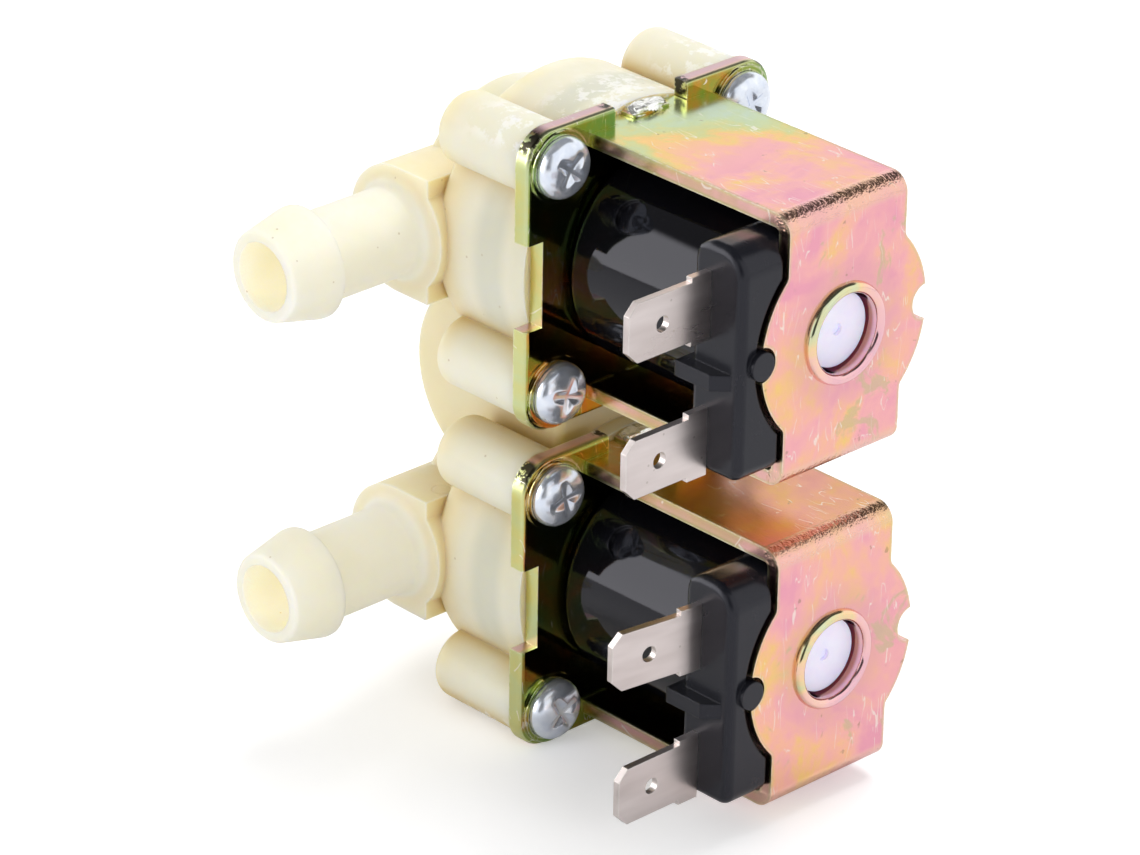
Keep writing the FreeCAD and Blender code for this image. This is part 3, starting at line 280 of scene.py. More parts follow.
def nylon():
    """Natural nylon: cream, with light passing into it; painted shade marks the diaphragm inside, the drum,
    the blocks and corners, and painted light the spouts, edges and bores.
    """
    shader = Shader("natural_nylon")
    colour = shader.ramp(shader.noise(70, 3, 0.55, warp=0.4), CREAM_CLOUDS)
    along = shader.axis("x")
    # Painted shade: a darker band on the drum where the dark diaphragm sits inside.
    band = shader.times(shader.fade(along, 4.2 * MM, 6.6 * MM), shader.fade(along, 10.4 * MM, 8.4 * MM))
    band = shader.times(band, shader.fade(shader.off_axis("y", VALVE_Y), 16.4 * MM, 15.4 * MM))
    colour = shader.mix(shader.times(band, 0.65), colour, DIAPHRAGM_SHADOW)
    # Painted shade: the drum is darkened and greyed.
    drum_shade = shader.fade(along, 0.5 * MM, 2.5 * MM)
    colour = shader.mix(shader.times(drum_shade, 0.5), colour, DRUM_PAINTED_SHADE)
    spouts = shader.fade(shader.axis("y"), *SPOUT_START)
    # Painted shade: the outlet blocks are darkened to a deeper gold.
    block_shade = shader.clamp(shader.calc("SUBTRACT", shader.fade(shader.axis("y"), *BLOCK_START), spouts))
    block_shade = shader.times(block_shade, shader.fade(along, 4.0 * MM, 1.0 * MM))
    colour = shader.mix(shader.times(block_shade, 0.55), colour, BLOCK_PAINTED_SHADE)
    # Painted light: the spouts are made paler.
    colour = shader.mix(shader.times(spouts, 0.4), colour, SPOUT_PAINTED_LIGHT)
    # Painted shade: corners and hollows turn golden brown, except on the spouts.
    open_air = shader.fade(shader.hollows(5 * MM), 0.30, 0.95)
    colour = shader.mix(shader.calc("MAXIMUM", open_air, spouts), CORNER_PAINTED_SHADE, colour)
    # Painted glow: sharp edges are lightened.
    colour = shader.mix(shader.times(shader.edges(0.35 * MM, 3.0), 0.6), colour, EDGE_PAINTED_GLOW)
    powder = shader.fade(shader.noise(520, 4, 0.7), 0.50, 0.58)
    near_top = shader.fade(shader.off_level("z", 0), 31.4 * MM, 32.6 * MM)
    near_top = shader.times(near_top, shader.fade(along, 3.0 * MM, 8.0 * MM))
    colour = shader.mix(shader.times(powder, near_top, 0.6), colour, POWDER)
    colour = shader.mix(shader.times(shader.dots(420, 0.055), 0.4), colour, GRIME)
    for point in BARB_SPECKS:
        spot = shader.calc("LESS_THAN", shader.distance(Vector(point) * MM), SPECK_RADIUS)
        colour = shader.mix(spot, colour, SPECK)
    shader.set("Base Color", colour)
    shader.set("Roughness", shader.fade(shader.noise(900, 2), -0.6, 1.7))
    shader.surface.subsurface_method = "RANDOM_WALK"
    shader.set("Subsurface Weight", 0.8)
    shader.set("Subsurface Radius", (1.0, 0.85, 0.50))
    shader.set("Subsurface Scale", 3.2 * MM)
    shader.set("IOR", 1.5)
    bore = shader.times(shader.fade(shader.off_axis("x", OUTLET_X), *BORE_EDGE), spouts)
    bore = shader.times(shader.calc("SUBTRACT", 1.0, open_air), bore)
    shader.set("Emission Color", (1.0, 0.94, 0.80))
    shader.set("Emission Strength", shader.times(bore, BORE_GLOW))
    shader.round_edges(0.22 * MM)
    shader.bump(shader.noise(160, 3, 0.5), 0.35, 0.12 * MM)
    shader.bump(shader.noise(1600, 2, 0.6), 0.25, 0.02 * MM)
    ring = shader.calc("ABSOLUTE", shader.calc("SUBTRACT", shader.distance(EJECTOR_MARK), EJECTOR_RADIUS))
    shader.bump(shader.fade(ring, 0.02 * MM, 0.16 * MM), 0.9, 0.12 * MM)
    return shader.material


# Yellow zinc: the colours of its film from thin to thick, of wear, of a painted edge highlight and of a
# painted dark face
FILM_COLOURS = (
    (0.22, (0.62, 0.38, 0.50)), (0.34, (0.83, 0.36, 0.46)), (0.46, (0.90, 0.44, 0.44)),
    (0.54, (0.92, 0.49, 0.35)), (0.62, (0.90, 0.58, 0.21)), (0.71, (0.66, 0.64, 0.26)),
    (0.81, (0.56, 0.66, 0.38)), (0.93, (0.54, 0.66, 0.50)),
)
RIM_OLIVE = (0.42, 0.55, 0.16)
RIM_STRAW = (0.76, 0.72, 0.36)
PAINTED_EDGE_HIGHLIGHT = (0.93, 0.91, 0.74)
SCRATCHED = (0.90, 0.85, 0.76)
SCRATCHES = (((0.3, 0.9, 0.2), 0.006), ((1.4, -0.4, 1.0), 0.005), ((-0.7, 0.2, 2.1), 0.005))
PLATE_FACE_PAINTED_DARK = (0.62, 0.78, 0.75)
PLATE_TOP = (0.80, 0.66, 0.62)
CRUMBS = (0.05, 0.045, 0.03)
CRUMBS_X = 13.4 * MM
CRUMBS_UP = 15.7 * MM
CRUMB_PLACES = ((-16.0, 1.9), (-5.2, 1.3), (5.2, 1.3), (16.0, 1.9))


def film_map(shader, place, lift):
    """Film thickness: broad clouds with finer ones on top."""
    broad = shader.calc("SUBTRACT", shader.noise(95, 4, 0.6, place, warp=0.5), 0.5)
    fine = shader.calc("SUBTRACT", shader.noise(420, 4, 0.65, place), 0.5)
    film = shader.calc("ADD", 0.50 + lift, shader.times(broad, 0.9))
    return shader.calc("ADD", film, shader.times(fine, 0.22))


def add_scratches(shader, colour, offset):
    """Fine light scratches in three directions, kept in patches."""
    scratches = None
    for turn, width in SCRATCHES:
        streak = shader.noise(120, 1.5, 0.5, shader.moved(offset, (1, 5, 1), turn), warp=0.3)
        middle = shader.calc("ABSOLUTE", shader.calc("SUBTRACT", streak, 0.5))
        kept = shader.noise(300, 1, 0.5, shader.moved(offset, (1, 1, 1), turn))
        line = shader.times(shader.calc("LESS_THAN", middle, width), shader.calc("GREATER_THAN", kept, 0.60))
        scratches = line if scratches is None else shader.calc("MAXIMUM", scratches, line)
    return shader.mix(shader.times(scratches, 0.6), colour, SCRATCHED)


def add_rim_film_and_edge_highlight(shader, colour, place, reach):
    """Greener edges with a thin painted highlight along them, in specks. Also gives how near an edge is."""
    edge = shader.edges(reach, 6.0)
    rim = shader.mix(shader.noise(260, 2, 0.5, place), RIM_OLIVE, RIM_STRAW)
    colour = shader.mix(shader.times(edge, 0.9), colour, rim)
    # Painted highlight: a thin light line on the sharpest edges, broken into specks.
    highlight_specks = shader.fade(shader.noise(1500, 3, 0.7, place), 0.36, 0.56)
    edge_highlight = shader.times(shader.edges(0.25 * MM, 7.0), highlight_specks)
    return shader.mix(shader.times(edge_highlight, 0.9), colour, PAINTED_EDGE_HIGHLIGHT), edge


def add_sheet_grain(shader, place):
    """The fine grain and the slight waves of rolled sheet."""
    shader.bump(shader.noise(2600, 2, 0.7, place), 0.12, 0.015 * MM)
    shader.bump(shader.noise(240, 2, 0.5, place), 0.06, 0.06 * MM)


def plate_chromate(name, offset, side):
    """The base plate: green and yellow rims, a mauve top, and a face of purer colours, darkened as a painted
    dark reflection.
    """
    shader = Shader(name, metal=1.0)
    place = shader.moved(offset=offset)
    film = film_map(shader, place, 0.20)
    along = shader.axis("x")
    back = shader.fade(along, PLATE_FACE_X - 0.2 * MM, PLATE_FACE_X - 1.1 * MM)
    rim = shader.fade(along, PLATE_FACE_X - 0.05 * MM, PLATE_FACE_X - 0.15 * MM)
    off_rim = shader.calc("SUBTRACT", 1.0, rim)
    level = shader.facing("z")
    rim_film = shader.calc("ADD", 0.46, shader.times(film, 0.42))
    rim_film = shader.calc("SUBTRACT", rim_film, shader.times(level, back, 0.46))
    film = shader.calc("ADD", shader.times(film, off_rim), shader.times(rim_film, rim))
    colour = shader.ramp(film, FILM_COLOURS)
    # The face's film colours are squared to make them purer, and darkened as a painted dark reflection.
    dark_face = shader.mix(1.0, shader.mix(1.0, colour, colour, "MULTIPLY"), PLATE_FACE_PAINTED_DARK, "MULTIPLY")
    colour = shader.mix(off_rim, colour, dark_face)
    colour = shader.mix(shader.times(level, rim, 0.6), colour, PLATE_TOP)
    colour = add_rim_film_and_edge_highlight(shader, colour, place, 0.35 * MM)[0]
    crumbs = shader.fade(shader.noise(1100, 3, 0.7, place), 0.42, 0.50)
    for aside, reach in CRUMB_PLACES:
        corner = Vector((CRUMBS_X, VALVE_Y + aside * MM, side * VALVE_Z + CRUMBS_UP))
        near = shader.fade(shader.distance(corner), reach * MM, 0.6 * reach * MM)
        colour = shader.mix(shader.times(near, rim, crumbs), colour, CRUMBS)
    shader.set("Base Color", add_scratches(shader, colour, offset))
    shader.set("Roughness", shader.calc("ADD", 0.08, shader.times(rim, 0.24)))
    add_sheet_grain(shader, place)
    return shader.material


SLEEVE_SHEEN = (0.95, 0.92, 0.86)
SLEEVE_INSIDE_SHADE = (0.50, 0.20, 0.13)


def sleeve_chromate(name, offset, side):
    """The flux sleeve's rolled rim: greenish on one side, pink and pale on the other, with painted brown
    shade inside.
    """
    shader = Shader(name, metal=1.0)
    place = shader.moved(offset=offset)
    across = shader.calc("SUBTRACT", shader.axis("y"), shader.axis("z"))
    across = shader.calc("ADD", across, -VALVE_Y + side * VALVE_Z)
    film = shader.calc("ADD", film_map(shader, place, 0.0), shader.times(across, -32.0))
    colour = shader.mix(0.25, shader.ramp(film, FILM_COLOURS), SLEEVE_SHEEN)
    # Painted shade: the bore below the rolled rim is darkened to brown.
    deep_inside = shader.fade(shader.axis("x"), PLATE_FACE_X + 27.7 * MM, PLATE_FACE_X + 27.2 * MM)
    shader.set("Base Color", shader.mix(shader.times(deep_inside, 0.85), colour, SLEEVE_INSIDE_SHADE))
    shader.set("Roughness", shader.calc("ADD", 0.07, shader.times(shader.noise(500, 3, 0.6, place), 0.12)))
    shader.bump(shader.noise(900, 2, 0.6, place), 0.16, 0.03 * MM)
    return shader.material


# The strap: where its arms and bends are, off the valve's level and off the plate, and its colours
ARM_INSIDE = 13.5 * MM
BEND_X = (PLATE_FACE_X + 25.4 * MM, PLATE_FACE_X + 26.2 * MM)
BEND_Z = (12.4 * MM, 13.0 * MM)
HALO = (0.70, 0.35, 0.40)
TARNISH = (0.52, 0.50, 0.26)
LOWER_ARM_PAINTED_SHADE = (0.66, 0.30, 0.12)
INSIDE_SHADE_BROWN = (0.17, 0.06, 0.02)
INSIDE_SHADE_OLIVE = (0.10, 0.09, 0.03)
CUT_BROWN = (0.58, 0.42, 0.26)
CUT_PINK = (0.74, 0.44, 0.40)
STAINED = (0.30, 0.22, 0.12)
BEND_PINK = (0.86, 0.56, 0.42)


def strap_chromate(name, offset, bend_z):
    """The bent strap: pink and orange ends, a greener arm near the plate, dull cut faces, and painted shade
    inside its arms and on the lower valve's top arm.
    """
    shader = Shader(name, metal=1.0)
    place = shader.moved(offset=offset)
    along, high = shader.axis("x"), shader.off_level("z", bend_z)
    film = shader.calc("MAXIMUM", film_map(shader, place, -0.025), 0.35)
    arm = shader.fade(high, 13.6 * MM, 14.3 * MM)
    near_plate = shader.fade(along, PLATE_FACE_X + 21.0 * MM, PLATE_FACE_X + 3.0 * MM)
    film = shader.calc("ADD", film, shader.times(arm, near_plate, 0.28))
    colour = shader.ramp(film, FILM_COLOURS)
    halo = shader.fade(shader.off_axis("y", VALVE_Y), 9.6 * MM, 5.6 * MM)
    colour = shader.mix(shader.times(halo, shader.facing("x"), 0.45), colour, HALO)
    tarnish = shader.noise(140, 4, 0.6, shader.moved((0.4, 0.1, 0.2)), warp=1.0)
    tarnish = shader.times(shader.fade(tarnish, 0.60, 0.66), shader.facing("x"))
    colour = shader.mix(shader.times(tarnish, 0.55), colour, TARNISH)
    if bend_z < 0:
        # Painted shade: the lower valve's top arm, under the upper valve, is darkened to brown and orange.
        arm_shade = shader.fade(shader.axis("z"), bend_z + 13.5 * MM, bend_z + 14.1 * MM)
        colour = shader.mix(shader.times(arm_shade, 0.55), colour, LOWER_ARM_PAINTED_SHADE)
    # Painted shade: the arms' inner faces are darkened to brown and olive.
    inside = shader.fade(along, PLATE_FACE_X + 26.6 * MM, PLATE_FACE_X + 26.3 * MM)
    inside = shader.times(shader.fade(high, ARM_INSIDE, ARM_INSIDE - 0.3 * MM), inside)
    inside_shade = shader.mix(shader.fade(shader.noise(130, 2, 0.5, place), 0.42, 0.58), INSIDE_SHADE_BROWN, INSIDE_SHADE_OLIVE)
    colour = shader.mix(shader.times(inside, 0.9), colour, inside_shade)
    cut = shader.mix(shader.fade(shader.noise(160, 3, 0.6, place), 0.40, 0.60), CUT_BROWN, CUT_PINK)
    colour = shader.mix(shader.times(shader.facing("y"), 0.75), colour, cut)
    colour, edge = add_rim_film_and_edge_highlight(shader, colour, place, 0.7 * MM)
    colour = add_scratches(shader, colour, offset)
    stains = shader.fade(shader.noise(520, 3, 0.65, place), 0.68, 0.73)
    colour = shader.mix(shader.times(stains, 0.5), colour, STAINED)
    bend = shader.times(shader.fade(along, *BEND_X), shader.fade(high, *BEND_Z))
    shader.set("Base Color", shader.mix(shader.times(bend, 0.5), colour, BEND_PINK))
    dull = shader.calc("ADD", 0.13, shader.times(shader.noise(500, 3, 0.6, place), 0.12))
    shader.set("Roughness", shader.calc("ADD", dull, shader.times(edge, 0.2)))
    shader.bump(shader.times(bend, shader.noise(1900, 2, 0.7, place)), 1.0, 0.14 * MM)
    add_sheet_grain(shader, place)
    return shader.material


# The other materials' colours
CRUSHED = ((0.34, (0.30, 0.30, 0.22)), (0.42, (0.80, 0.81, 0.74)), (0.52, (1.0, 1.0, 0.97)))
COIL_BLACK = (0.0035, 0.0035, 0.0050)
BLOCK_BLACK = (0.0085, 0.0090, 0.0125)
SCUFFED = (0.018, 0.018, 0.022)
DUST = (0.20, 0.20, 0.22)
RESIN_SHEEN = (0.91, 0.90, 1.0)
TIN_STREAKS = ((0.3, (0.56, 0.49, 0.47)), (0.7, (0.76, 0.69, 0.67)))
TIN_SPOT = (0.36, 0.31, 0.27)
TIN_EDGE_HIGHLIGHT = (0.90, 0.87, 0.83)
ZINC_CLOUDS = ((0.35, (0.72, 0.78, 0.90)), (0.7, (0.90, 0.94, 1.0)))
RUBBER_CLOUDS = ((0.3, (0.012, 0.012, 0.013)), (0.7, (0.03, 0.03, 0.03)))
STEEL = (0.62, 0.61, 0.60)
BLUE_WHITE = ((0.35, (0.86, 0.83, 0.98)), (0.65, (0.91, 0.88, 1.0)))
GREY_WHITE = ((0.35, (0.78, 0.80, 0.80)), (0.65, (0.86, 0.87, 0.86)))
BRIGHTENER = (0.03, 0.025, 0.085)


def crushed_metal():
    """Bare, hammered metal of the staked lumps."""
    shader = Shader("staked_metal", rough=0.22, metal=0.8)
    shader.set("Base Color", shader.ramp(shader.noise(900, 3, 0.7), CRUSHED))
    shader.bump(shader.noise(1300, 3, 0.7), 0.8, 0.15 * MM)
    return shader.material


def resin():
    """Black potting compound: glossy on the coil, duller on the terminal block, with scuffs and dust."""
    shader = Shader("black_resin")
    block = shader.fade(shader.axis("x"), PLATE_FACE_X + 20.0 * MM, PLATE_FACE_X + 20.6 * MM)
    scuffs = shader.fade(shader.noise(420, 5, 0.75, warp=0.6), 0.60, 0.74)
    colour = shader.mix(block, COIL_BLACK, BLOCK_BLACK)
    colour = shader.mix(shader.times(scuffs, 0.6), colour, SCUFFED)
    shader.set("Base Color", shader.mix(shader.times(shader.dots(1100, 0.030), 0.45), colour, DUST))
    rough = shader.mix(block, (0.055, 0.055, 0.055), (0.24, 0.24, 0.24))
    shader.set("Roughness", shader.calc("ADD", rough, shader.times(scuffs, 0.12)))
    shader.set("IOR", 1.5)
    shader.set("Specular IOR Level", 0.36)
    shader.set("Specular Tint", RESIN_SHEEN)
    shader.round_edges(0.25 * MM)
    shader.bump(shader.noise(90, 2, 0.5), 0.22, 0.08 * MM)
    shader.bump(shader.noise(1300, 3, 0.6), 0.05, 0.02 * MM)
    return shader.material


def tin():
    """Tin-plated brass, drawn lengthwise and a little warm, with a painted highlight on its sharp edges."""
    shader = Shader("tin_plate", metal=1.0)
    streaks = shader.noise(260, 3, 0.6, shader.moved(scale=(1, 0.16, 1)))
    colour = shader.ramp(streaks, TIN_STREAKS)
    colour = shader.mix(shader.times(shader.dots(520, 0.07), 0.5), colour, TIN_SPOT)
    # Painted highlight: sharp edges are lightened.
    colour = shader.mix(shader.times(shader.edges(0.25 * MM, 3.5), 0.6), colour, TIN_EDGE_HIGHLIGHT)
    shader.set("Base Color", colour)
    shader.set("Roughness", shader.calc("ADD", 0.20, shader.times(streaks, 0.22)))
    shader.round_edges(0.12 * MM)
    shader.bump(shader.noise(420, 3, 0.6), 0.14, 0.05 * MM)
    return shader.material


def bright_zinc():
    """Bright, bluish zinc plate, a little dented by the driver."""
    shader = Shader("bright_zinc", metal=0.75)
    dull = shader.noise(700, 3, 0.6)
    shader.set("Base Color", shader.ramp(dull, ZINC_CLOUDS))
    shader.set("Roughness", shader.calc("ADD", 0.12, shader.times(dull, 0.20)))
    shader.bump(shader.noise(420, 2, 0.5), 0.45, 0.16 * MM)
    return shader.material


def plain_plastic(name, clouds, rough, glow, brightener=None):
    """Moulded plastic with slight clouds and a fine grain, and with a brightener's bluish light if asked."""
    shader = Shader(name, rough=rough)
    shader.set("Base Color", shader.ramp(shader.noise(300, 3, 0.6), clouds))
    shader.set("Subsurface Weight", glow)
    shader.set("Subsurface Scale", 1.5 * MM)
    if brightener:
        shader.set("Emission Color", brightener)
        shader.set("Emission Strength", 1.0)
    shader.round_edges(0.1 * MM)
    shader.bump(shader.noise(1800, 2, 0.6), 0.12, 0.02 * MM)
    return shader.material


def turned_steel():
    """Machined metal with fine rings round the valve's axis."""
    shader = Shader("plunger_steel", rough=0.28, metal=1.0)
    rings = shader.noise(2200, 2, 0.6, shader.moved(scale=(1, 0.05, 0.05)))
    shader.set("Base Color", shader.mix(rings, tuple(0.7 * value for value in STEEL), STEEL))
    shader.bump(rings, 0.2, 0.01 * MM)
    return shader.material


def rubber():
    shader = Shader("black_rubber", rough=0.6)
    shader.set("Base Color", shader.ramp(shader.noise(900, 3, 0.6), RUBBER_CLOUDS))
    shader.bump(shader.noise(2500, 2, 0.6), 0.25, 0.02 * MM)
    return shader.material


def paint(thing, material):
    thing.data.materials.clear()
    thing.data.materials.append(material)


def dress_nodes():
    """Gives every carried-over solid its material."""
    made = {
        "resin": resin(), "tin": tin(), "zinc": bright_zinc(), "steel": turned_steel(),
        "rubber": rubber(), "crushed": crushed_metal(),
        "white": plain_plastic("white_plastic", BLUE_WHITE, 0.42, 0.4, BRIGHTENER),
        "mesh": plain_plastic("strainer_plastic", GREY_WHITE, 0.4, 0.2),
    }
    finishes = {
        "coil": "resin", "top_tab": "tin", "bottom_tab": "tin", "guide_tube": "white",
        "pilot_insert": "white", "plunger": "steel", "plunger_tip": "rubber", "diaphragm": "rubber",
        "plunger_spring": "steel",
    }
    for word, side in SIDES.items():
        shift = (0.013 * side, 0.031 * side, 0.007 * side)
        plate = plate_chromate(word + "_plate_chromate", shift, side)
        strap = strap_chromate(word + "_yoke_chromate", (0.05 + shift[0], shift[1], 0.04), side * VALVE_Z)
        for ending, finish in finishes.items():
            paint(nodes[word + "_" + ending], made[finish])
        paint(nodes[word + "_base_plate"], plate)
        paint(nodes[word + "_yoke"], strap)
    paint(nodes["inlet_strainer"], made["mesh"])
    paint(nodes["flow_washer_holder"], made["mesh"])
    paint(nodes["flow_washer"], made["rubber"])
    return made


def new_piece(name, shape, material, body="root"):
    """Turns a bmesh into a piece that rides on a body."""
    mesh = bpy.data.meshes.new(name)
    shape.normal_update()
    shape.to_mesh(mesh)
    shape.free()
    piece = bpy.data.objects.new(name, mesh)
    bpy.context.collection.objects.link(piece)
    mesh.materials.append(material)
    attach(piece, body)
    return piece


# The inlet thread
THREAD_PITCH = 1.814 * MM
THREAD_CREST = 13.2 * MM
THREAD_ROOT = 12.05 * MM
THREAD_END = 13.0 * MM
THREAD_HALF_ANGLE = math.radians(27.5)
STEPS_PER_TURN = 64


def thread_cutter():
    """The helical groove of a right-handed pipe thread, as a solid to cut with."""
    shape = bmesh.new()
    outside = THREAD_CREST + 0.35 * MM
    root_flat = 0.12 * MM
    start, end = 1.5 * MM, THREAD_END + THREAD_PITCH
    steps = int((end - start) / THREAD_PITCH * STEPS_PER_TURN)
    rings = []
    for index in range(steps + 1):
        turns = index / STEPS_PER_TURN
        angle = 2 * math.pi * turns
        along = start + turns * THREAD_PITCH
        depth = THREAD_ROOT + (outside - THREAD_ROOT - 0.05 * MM) * max(0.0, 1 - 2 * turns)
        spread = (outside - depth) * math.tan(THREAD_HALF_ANGLE)
        section = [(outside, -root_flat - spread), (depth, -root_flat)]
        section += [(depth, root_flat), (outside, root_flat + spread)]
        rings.append([
            shape.verts.new((radius * math.sin(angle), along + rise, radius * math.cos(angle)))
            for radius, rise in section
        ])
    for first, second in zip(rings, rings[1:]):
        for index in range(4):
            following = (index + 1) % 4
            shape.faces.new((first[index], second[index], second[following], first[following]))
    shape.faces.new(rings[0])
    shape.faces.new(list(reversed(rings[-1])))
    bmesh.ops.recalc_face_normals(shape, faces=shape.faces)
    mesh = bpy.data.meshes.new("thread_cutter")
    shape.to_mesh(mesh)
    shape.free()
    cutter = bpy.data.objects.new("thread_cutter", mesh)
    bpy.context.collection.objects.link(cutter)
    return cutter


def flattened(thing):
    """Applies the thing's modifiers to its mesh."""
    bpy.context.view_layer.update()
    seen = thing.evaluated_get(bpy.context.evaluated_depsgraph_get())
    mesh = bpy.data.meshes.new_from_object(seen)
    thing.modifiers.clear()
    thing.data = mesh


def shade_smooth(thing, degrees=32):
    """Smooth shading with crisp edges above the angle."""
    for face in thing.data.polygons:
        face.use_smooth = True
    thing.data.set_sharp_from_angle(angle=math.radians(degrees))
    even = thing.modifiers.new("even_normals", "WEIGHTED_NORMAL")
    even.keep_sharp = True
    even.weight = 50


def welded_copy(node, name):
    """A node's mesh with its split points joined, so that normals and cuts come out clean."""
    mesh = bpy.data.meshes.new(name)
    shape = bmesh.new()
    shape.from_mesh(nodes[node].data)
    bmesh.ops.remove_doubles(shape, verts=shape.verts, dist=0.5e-6)
    shape.to_mesh(mesh)
    shape.free()
    if "custom_normal" in mesh.attributes:
        mesh.attributes.remove(mesh.attributes["custom_normal"])
    return mesh


def dress_body():
    """The moulded body again, with a real thread cut into its inlet."""
    body = bpy.data.objects.new("moulded_body", welded_copy("valve_body", "moulded_body"))
    bpy.context.collection.objects.link(body)
    cutter = thread_cutter()
    cut = body.modifiers.new("thread", "BOOLEAN")
    cut.operation = "DIFFERENCE"
    cut.solver = "EXACT"
    cut.object = cutter
    flattened(body)
    bpy.data.objects.remove(cutter)
    shade_smooth(body)
    paint(body, nylon())
    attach(body, "root")
    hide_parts("valve_body")


# The upper rear corner of each terminal block, which is rounded
BLOCK_REAR_X = 35.0 * MM
BLOCK_TOP_LEVEL = 12.3 * MM
BLOCK_BACK_Y = -26.9 * MM
CORNER_RADIUS = 2.6 * MM
CORNER_CUTS = 10


def dress_coil(word, side, material):
    """The coil again, with a corner of its terminal block pulled round."""
    top = side * VALVE_Z + BLOCK_TOP_LEVEL
    shape = bmesh.new()
    shape.from_mesh(welded_copy(word + "_coil", word + "_square_coil"))

    def insets(vert):
        """How far a point is from the two faces that meet at the corner, or nothing if it is elsewhere."""
        along, down = vert.co.x - BLOCK_REAR_X, top - vert.co.z
        near = -0.01 * MM < min(along, down) and max(along, down) < CORNER_RADIUS + 0.01 * MM
        return (along, down) if near and vert.co.y < BLOCK_BACK_Y else None

    for cut in range(1, CORNER_CUTS + 1):
        inset = CORNER_RADIUS * cut / CORNER_CUTS
        planes = (((BLOCK_REAR_X + inset, 0, 0), (1, 0, 0)), ((0, 0, top - inset), (0, 0, 1)))
        for place, normal in planes:
            faces = [face for face in shape.faces if any(insets(vert) for vert in face.verts)]
            edges = {edge for face in faces for edge in face.edges}
            verts = {vert for face in faces for vert in face.verts}
            bmesh.ops.bisect_plane(shape, geom=[*verts, *edges, *faces], plane_co=place, plane_no=normal)
    for vert in shape.verts:
        if not insets(vert):
            continue
        across, up = (min(max(1 - inset / CORNER_RADIUS, 0.0), 1.0) for inset in insets(vert))
        vert.co.x = BLOCK_REAR_X + CORNER_RADIUS * (1 - across * math.sqrt(1 - up * up / 2))
        vert.co.z = top - CORNER_RADIUS * (1 - up * math.sqrt(1 - across * across / 2))
    piece = new_piece(word + "_rounded_coil", shape, material)
    shade_smooth(piece, 28)
    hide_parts(word + "_coil")


RING_SIDES = 72


def turned(name, outline, axis_y, axis_z, material, segments=RING_SIDES):
    """A ring turned about a valve's axis, from pairs of (along X, away from the axis)."""
    shape = bmesh.new()
    rows = []
    for index in range(segments):
        angle = 2 * math.pi * index / segments
        rows.append([
            shape.verts.new((along, axis_y + radius * math.cos(angle), axis_z + radius * math.sin(angle)))
            for along, radius in outline
        ])
    count = len(outline)
    for index, row in enumerate(rows):
        following = rows[(index + 1) % segments]
        for place in range(count):
            beyond = (place + 1) % count
            shape.faces.new((row[place], row[beyond], following[beyond], following[place]))
    bmesh.ops.recalc_face_normals(shape, faces=shape.faces)
    return new_piece(name, shape, material)


def dress_diaphragm(word, side, material):
    """A moulded diaphragm whose web has a soft convolution."""
    low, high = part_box(word + "_diaphragm")
    rim, hub = (high.y - low.y) / 2, 8.3 * MM
    ledge, seat, top = high.x - 2.2 * MM, low.x, low.x + 1.6 * MM
    web = [(10.9, -6.9), (10.5, -7.3), (10.0, -7.9), (9.4, -8.35), (8.9, -8.5), (8.3, -8.5)]
    upper = [(PLATE_FACE_X + along * MM + 0.8 * MM, radius * MM) for radius, along in web]
    lower = [(PLATE_FACE_X + along * MM, radius * MM) for radius, along in reversed(web)]
    outline = [(high.x, rim - 0.2 * MM), (high.x, 11.1 * MM), (high.x - 0.3 * MM, 10.9 * MM)]
    outline += upper + [(top, hub - 0.2 * MM), (top, 2.6 * MM), (seat, 2.6 * MM), (seat, hub - 0.3 * MM)]
    outline += lower + [(ledge, 11.0 * MM), (ledge, rim - 0.2 * MM)]
    outline += [(ledge + 0.2 * MM, rim), (high.x - 0.2 * MM, rim)]
    piece = turned(word + "_diaphragm_rubber", outline, VALVE_Y, side * VALVE_Z, material)
    shade_smooth(piece, 40)
    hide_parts(word + "_diaphragm")
    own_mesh(piece)


def dress_spring(word, side, material):
    """A return spring of round wire with closed ends."""
    low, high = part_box(word + "_plunger_spring")
    wire, sides, per_turn = 0.22 * MM, 10, 28
    radius = (high.y - low.y) / 2 - wire
    start, length = low.x + wire, high.x - low.x - 2 * wire
    closed_rise = 2.05 * wire
    open_turns = 5.0
    turns = open_turns + 2
    shape = bmesh.new()
    rings = []
    for index in range(int(turns * per_turn) + 1):
        turn = index / per_turn
        rise = closed_rise * min(turn, 1) + closed_rise * max(0, turn - turns + 1)
        rise += (length - 2 * closed_rise) / open_turns * min(max(turn - 1, 0), open_turns)
        angle = 2 * math.pi * turn
        outward = Vector((0, math.cos(angle), math.sin(angle)))
        centre = Vector((start + rise, VALVE_Y, side * VALVE_Z)) + outward * radius
        ring = []
        for corner in range(sides):
            tilt = 2 * math.pi * corner / sides
            away = outward * math.cos(tilt) + Vector((math.sin(tilt), 0, 0))
            ring.append(shape.verts.new(centre + wire * away))
        rings.append(ring)
    for first, second in zip(rings, rings[1:]):
        for corner in range(sides):
            beyond = (corner + 1) % sides
            shape.faces.new((first[corner], first[beyond], second[beyond], second[corner]))
    shape.faces.new(rings[0])
    shape.faces.new(list(reversed(rings[-1])))
    bmesh.ops.recalc_face_normals(shape, faces=shape.faces)
    piece = new_piece(word + "_return_spring", shape, material)
    shade_smooth(piece, 50)
    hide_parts(word + "_plunger_spring")
    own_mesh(piece)


